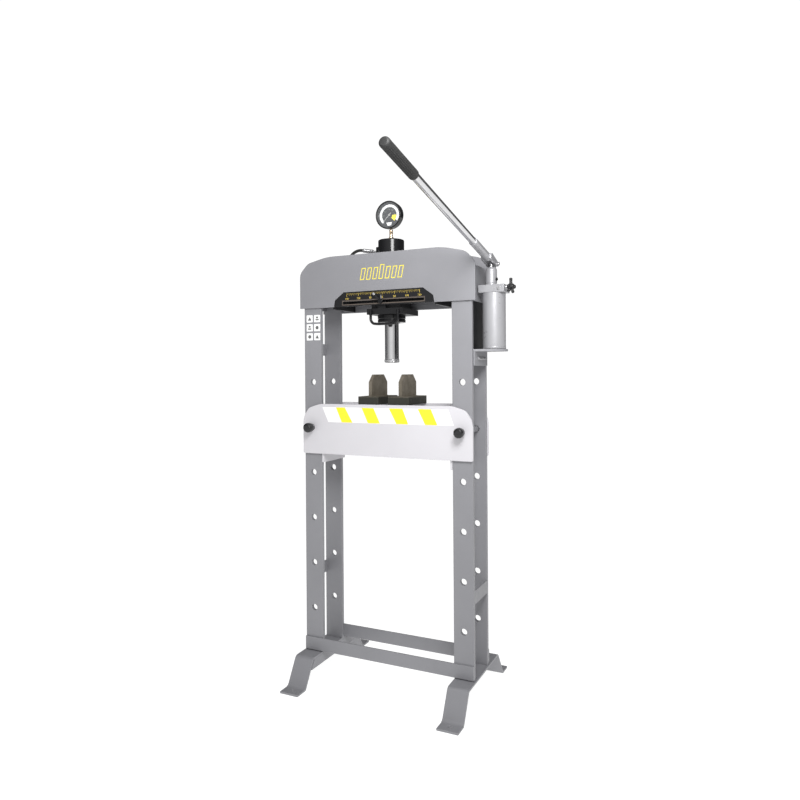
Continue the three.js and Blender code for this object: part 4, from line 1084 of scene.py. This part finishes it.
def studio_world():
    """White for the eye; for light and reflections, a wall that is bright in front and dim behind."""
    world = bpy.data.worlds.new("studio")
    scene.world = world
    world.use_nodes = True
    nodes, links = world.node_tree.nodes, world.node_tree.links
    nodes.clear()

    direction = nodes.new("ShaderNodeTexCoord").outputs["Generated"]
    parts = nodes.new("ShaderNodeSeparateXYZ")
    links.new(direction, parts.inputs["Vector"])
    azimuth = math_node(nodes, links, "ARCTAN2", parts.outputs["Y"], parts.outputs["X"])
    away = math_node(nodes, links, "SUBTRACT", azimuth, BRIGHT_AZIMUTH)
    facing = math_node(nodes, links, "MULTIPLY_ADD", math_node(nodes, links, "COSINE", away), 0.5, 0.5)
    wall = math_node(nodes, links, "POWER", facing, WALL_NARROWNESS)
    wall_light = math_node(nodes, links, "MULTIPLY_ADD", wall, WALL_LIGHT, DIM_LIGHT)
    height_light = math_node(nodes, links, "MULTIPLY_ADD", parts.outputs["Z"], CEILING_LIGHT, LEVEL_LIGHT)
    level = math_node(nodes, links, "ADD", wall_light, height_light)
    studio = nodes.new("ShaderNodeBackground")
    links.new(level, studio.inputs["Strength"])
    white = nodes.new("ShaderNodeBackground")
    white.inputs["Color"].default_value = (1, 1, 1, 1)
    white.inputs["Strength"].default_value = 1.05
    seen = nodes.new("ShaderNodeLightPath").outputs["Is Camera Ray"]
    mix = nodes.new("ShaderNodeMixShader")
    links.new(seen, mix.inputs["Fac"])
    links.new(studio.outputs["Background"], mix.inputs[1])
    links.new(white.outputs["Background"], mix.inputs[2])
    output = nodes.new("ShaderNodeOutputWorld")
    links.new(mix.outputs["Shader"], output.inputs["Surface"])


def softbox(name, position, target, size, power):
    """A rectangular light at position, turned to target; metres and watts."""
    light = bpy.data.lights.new(name, "AREA")
    light.shape, light.size, light.size_y = "RECTANGLE", size[0], size[1]
    light.energy = power
    obj = bpy.data.objects.new(name, light)
    scene.collection.objects.link(obj)
    obj.location = position
    obj.rotation_euler = (Vector(target) - Vector(position)).to_track_quat("-Z", "Y").to_euler()


pale_floor()
studio_world()
softbox("key", (0.85, -0.95, 2.05), (0.25, 0.2, 1.1), (0.6, 0.6), 30)
softbox("top", (0.3, 0.2, 4.2), (cad_box[0] + cad_box[1]) / 2, (3.0, 3.0), 20)

CAMERA_PLACE = (1.0756, -2.0548, 1.190)
AZIMUTH, ROLL = math.radians(25.39), math.radians(0.39)


def level_camera():
    """The camera stands in front and to the right, level, at the height of the open space."""
    data = bpy.data.cameras.new("camera")
    camera = bpy.data.objects.new("camera", data)
    scene.collection.objects.link(camera)
    camera.location = CAMERA_PLACE
    forward = Vector((-math.sin(AZIMUTH), math.cos(AZIMUTH), 0))
    rolled = Matrix.Rotation(-ROLL, 4, "Z").to_quaternion()
    camera.rotation_mode = "QUATERNION"
    camera.rotation_quaternion = forward.to_track_quat("-Z", "Y") @ rolled
    data.sensor_width = 36
    data.lens = 30.67
    data.shift_y = -0.038
    scene.camera = camera


level_camera()
scene.view_settings.view_transform = "Standard"
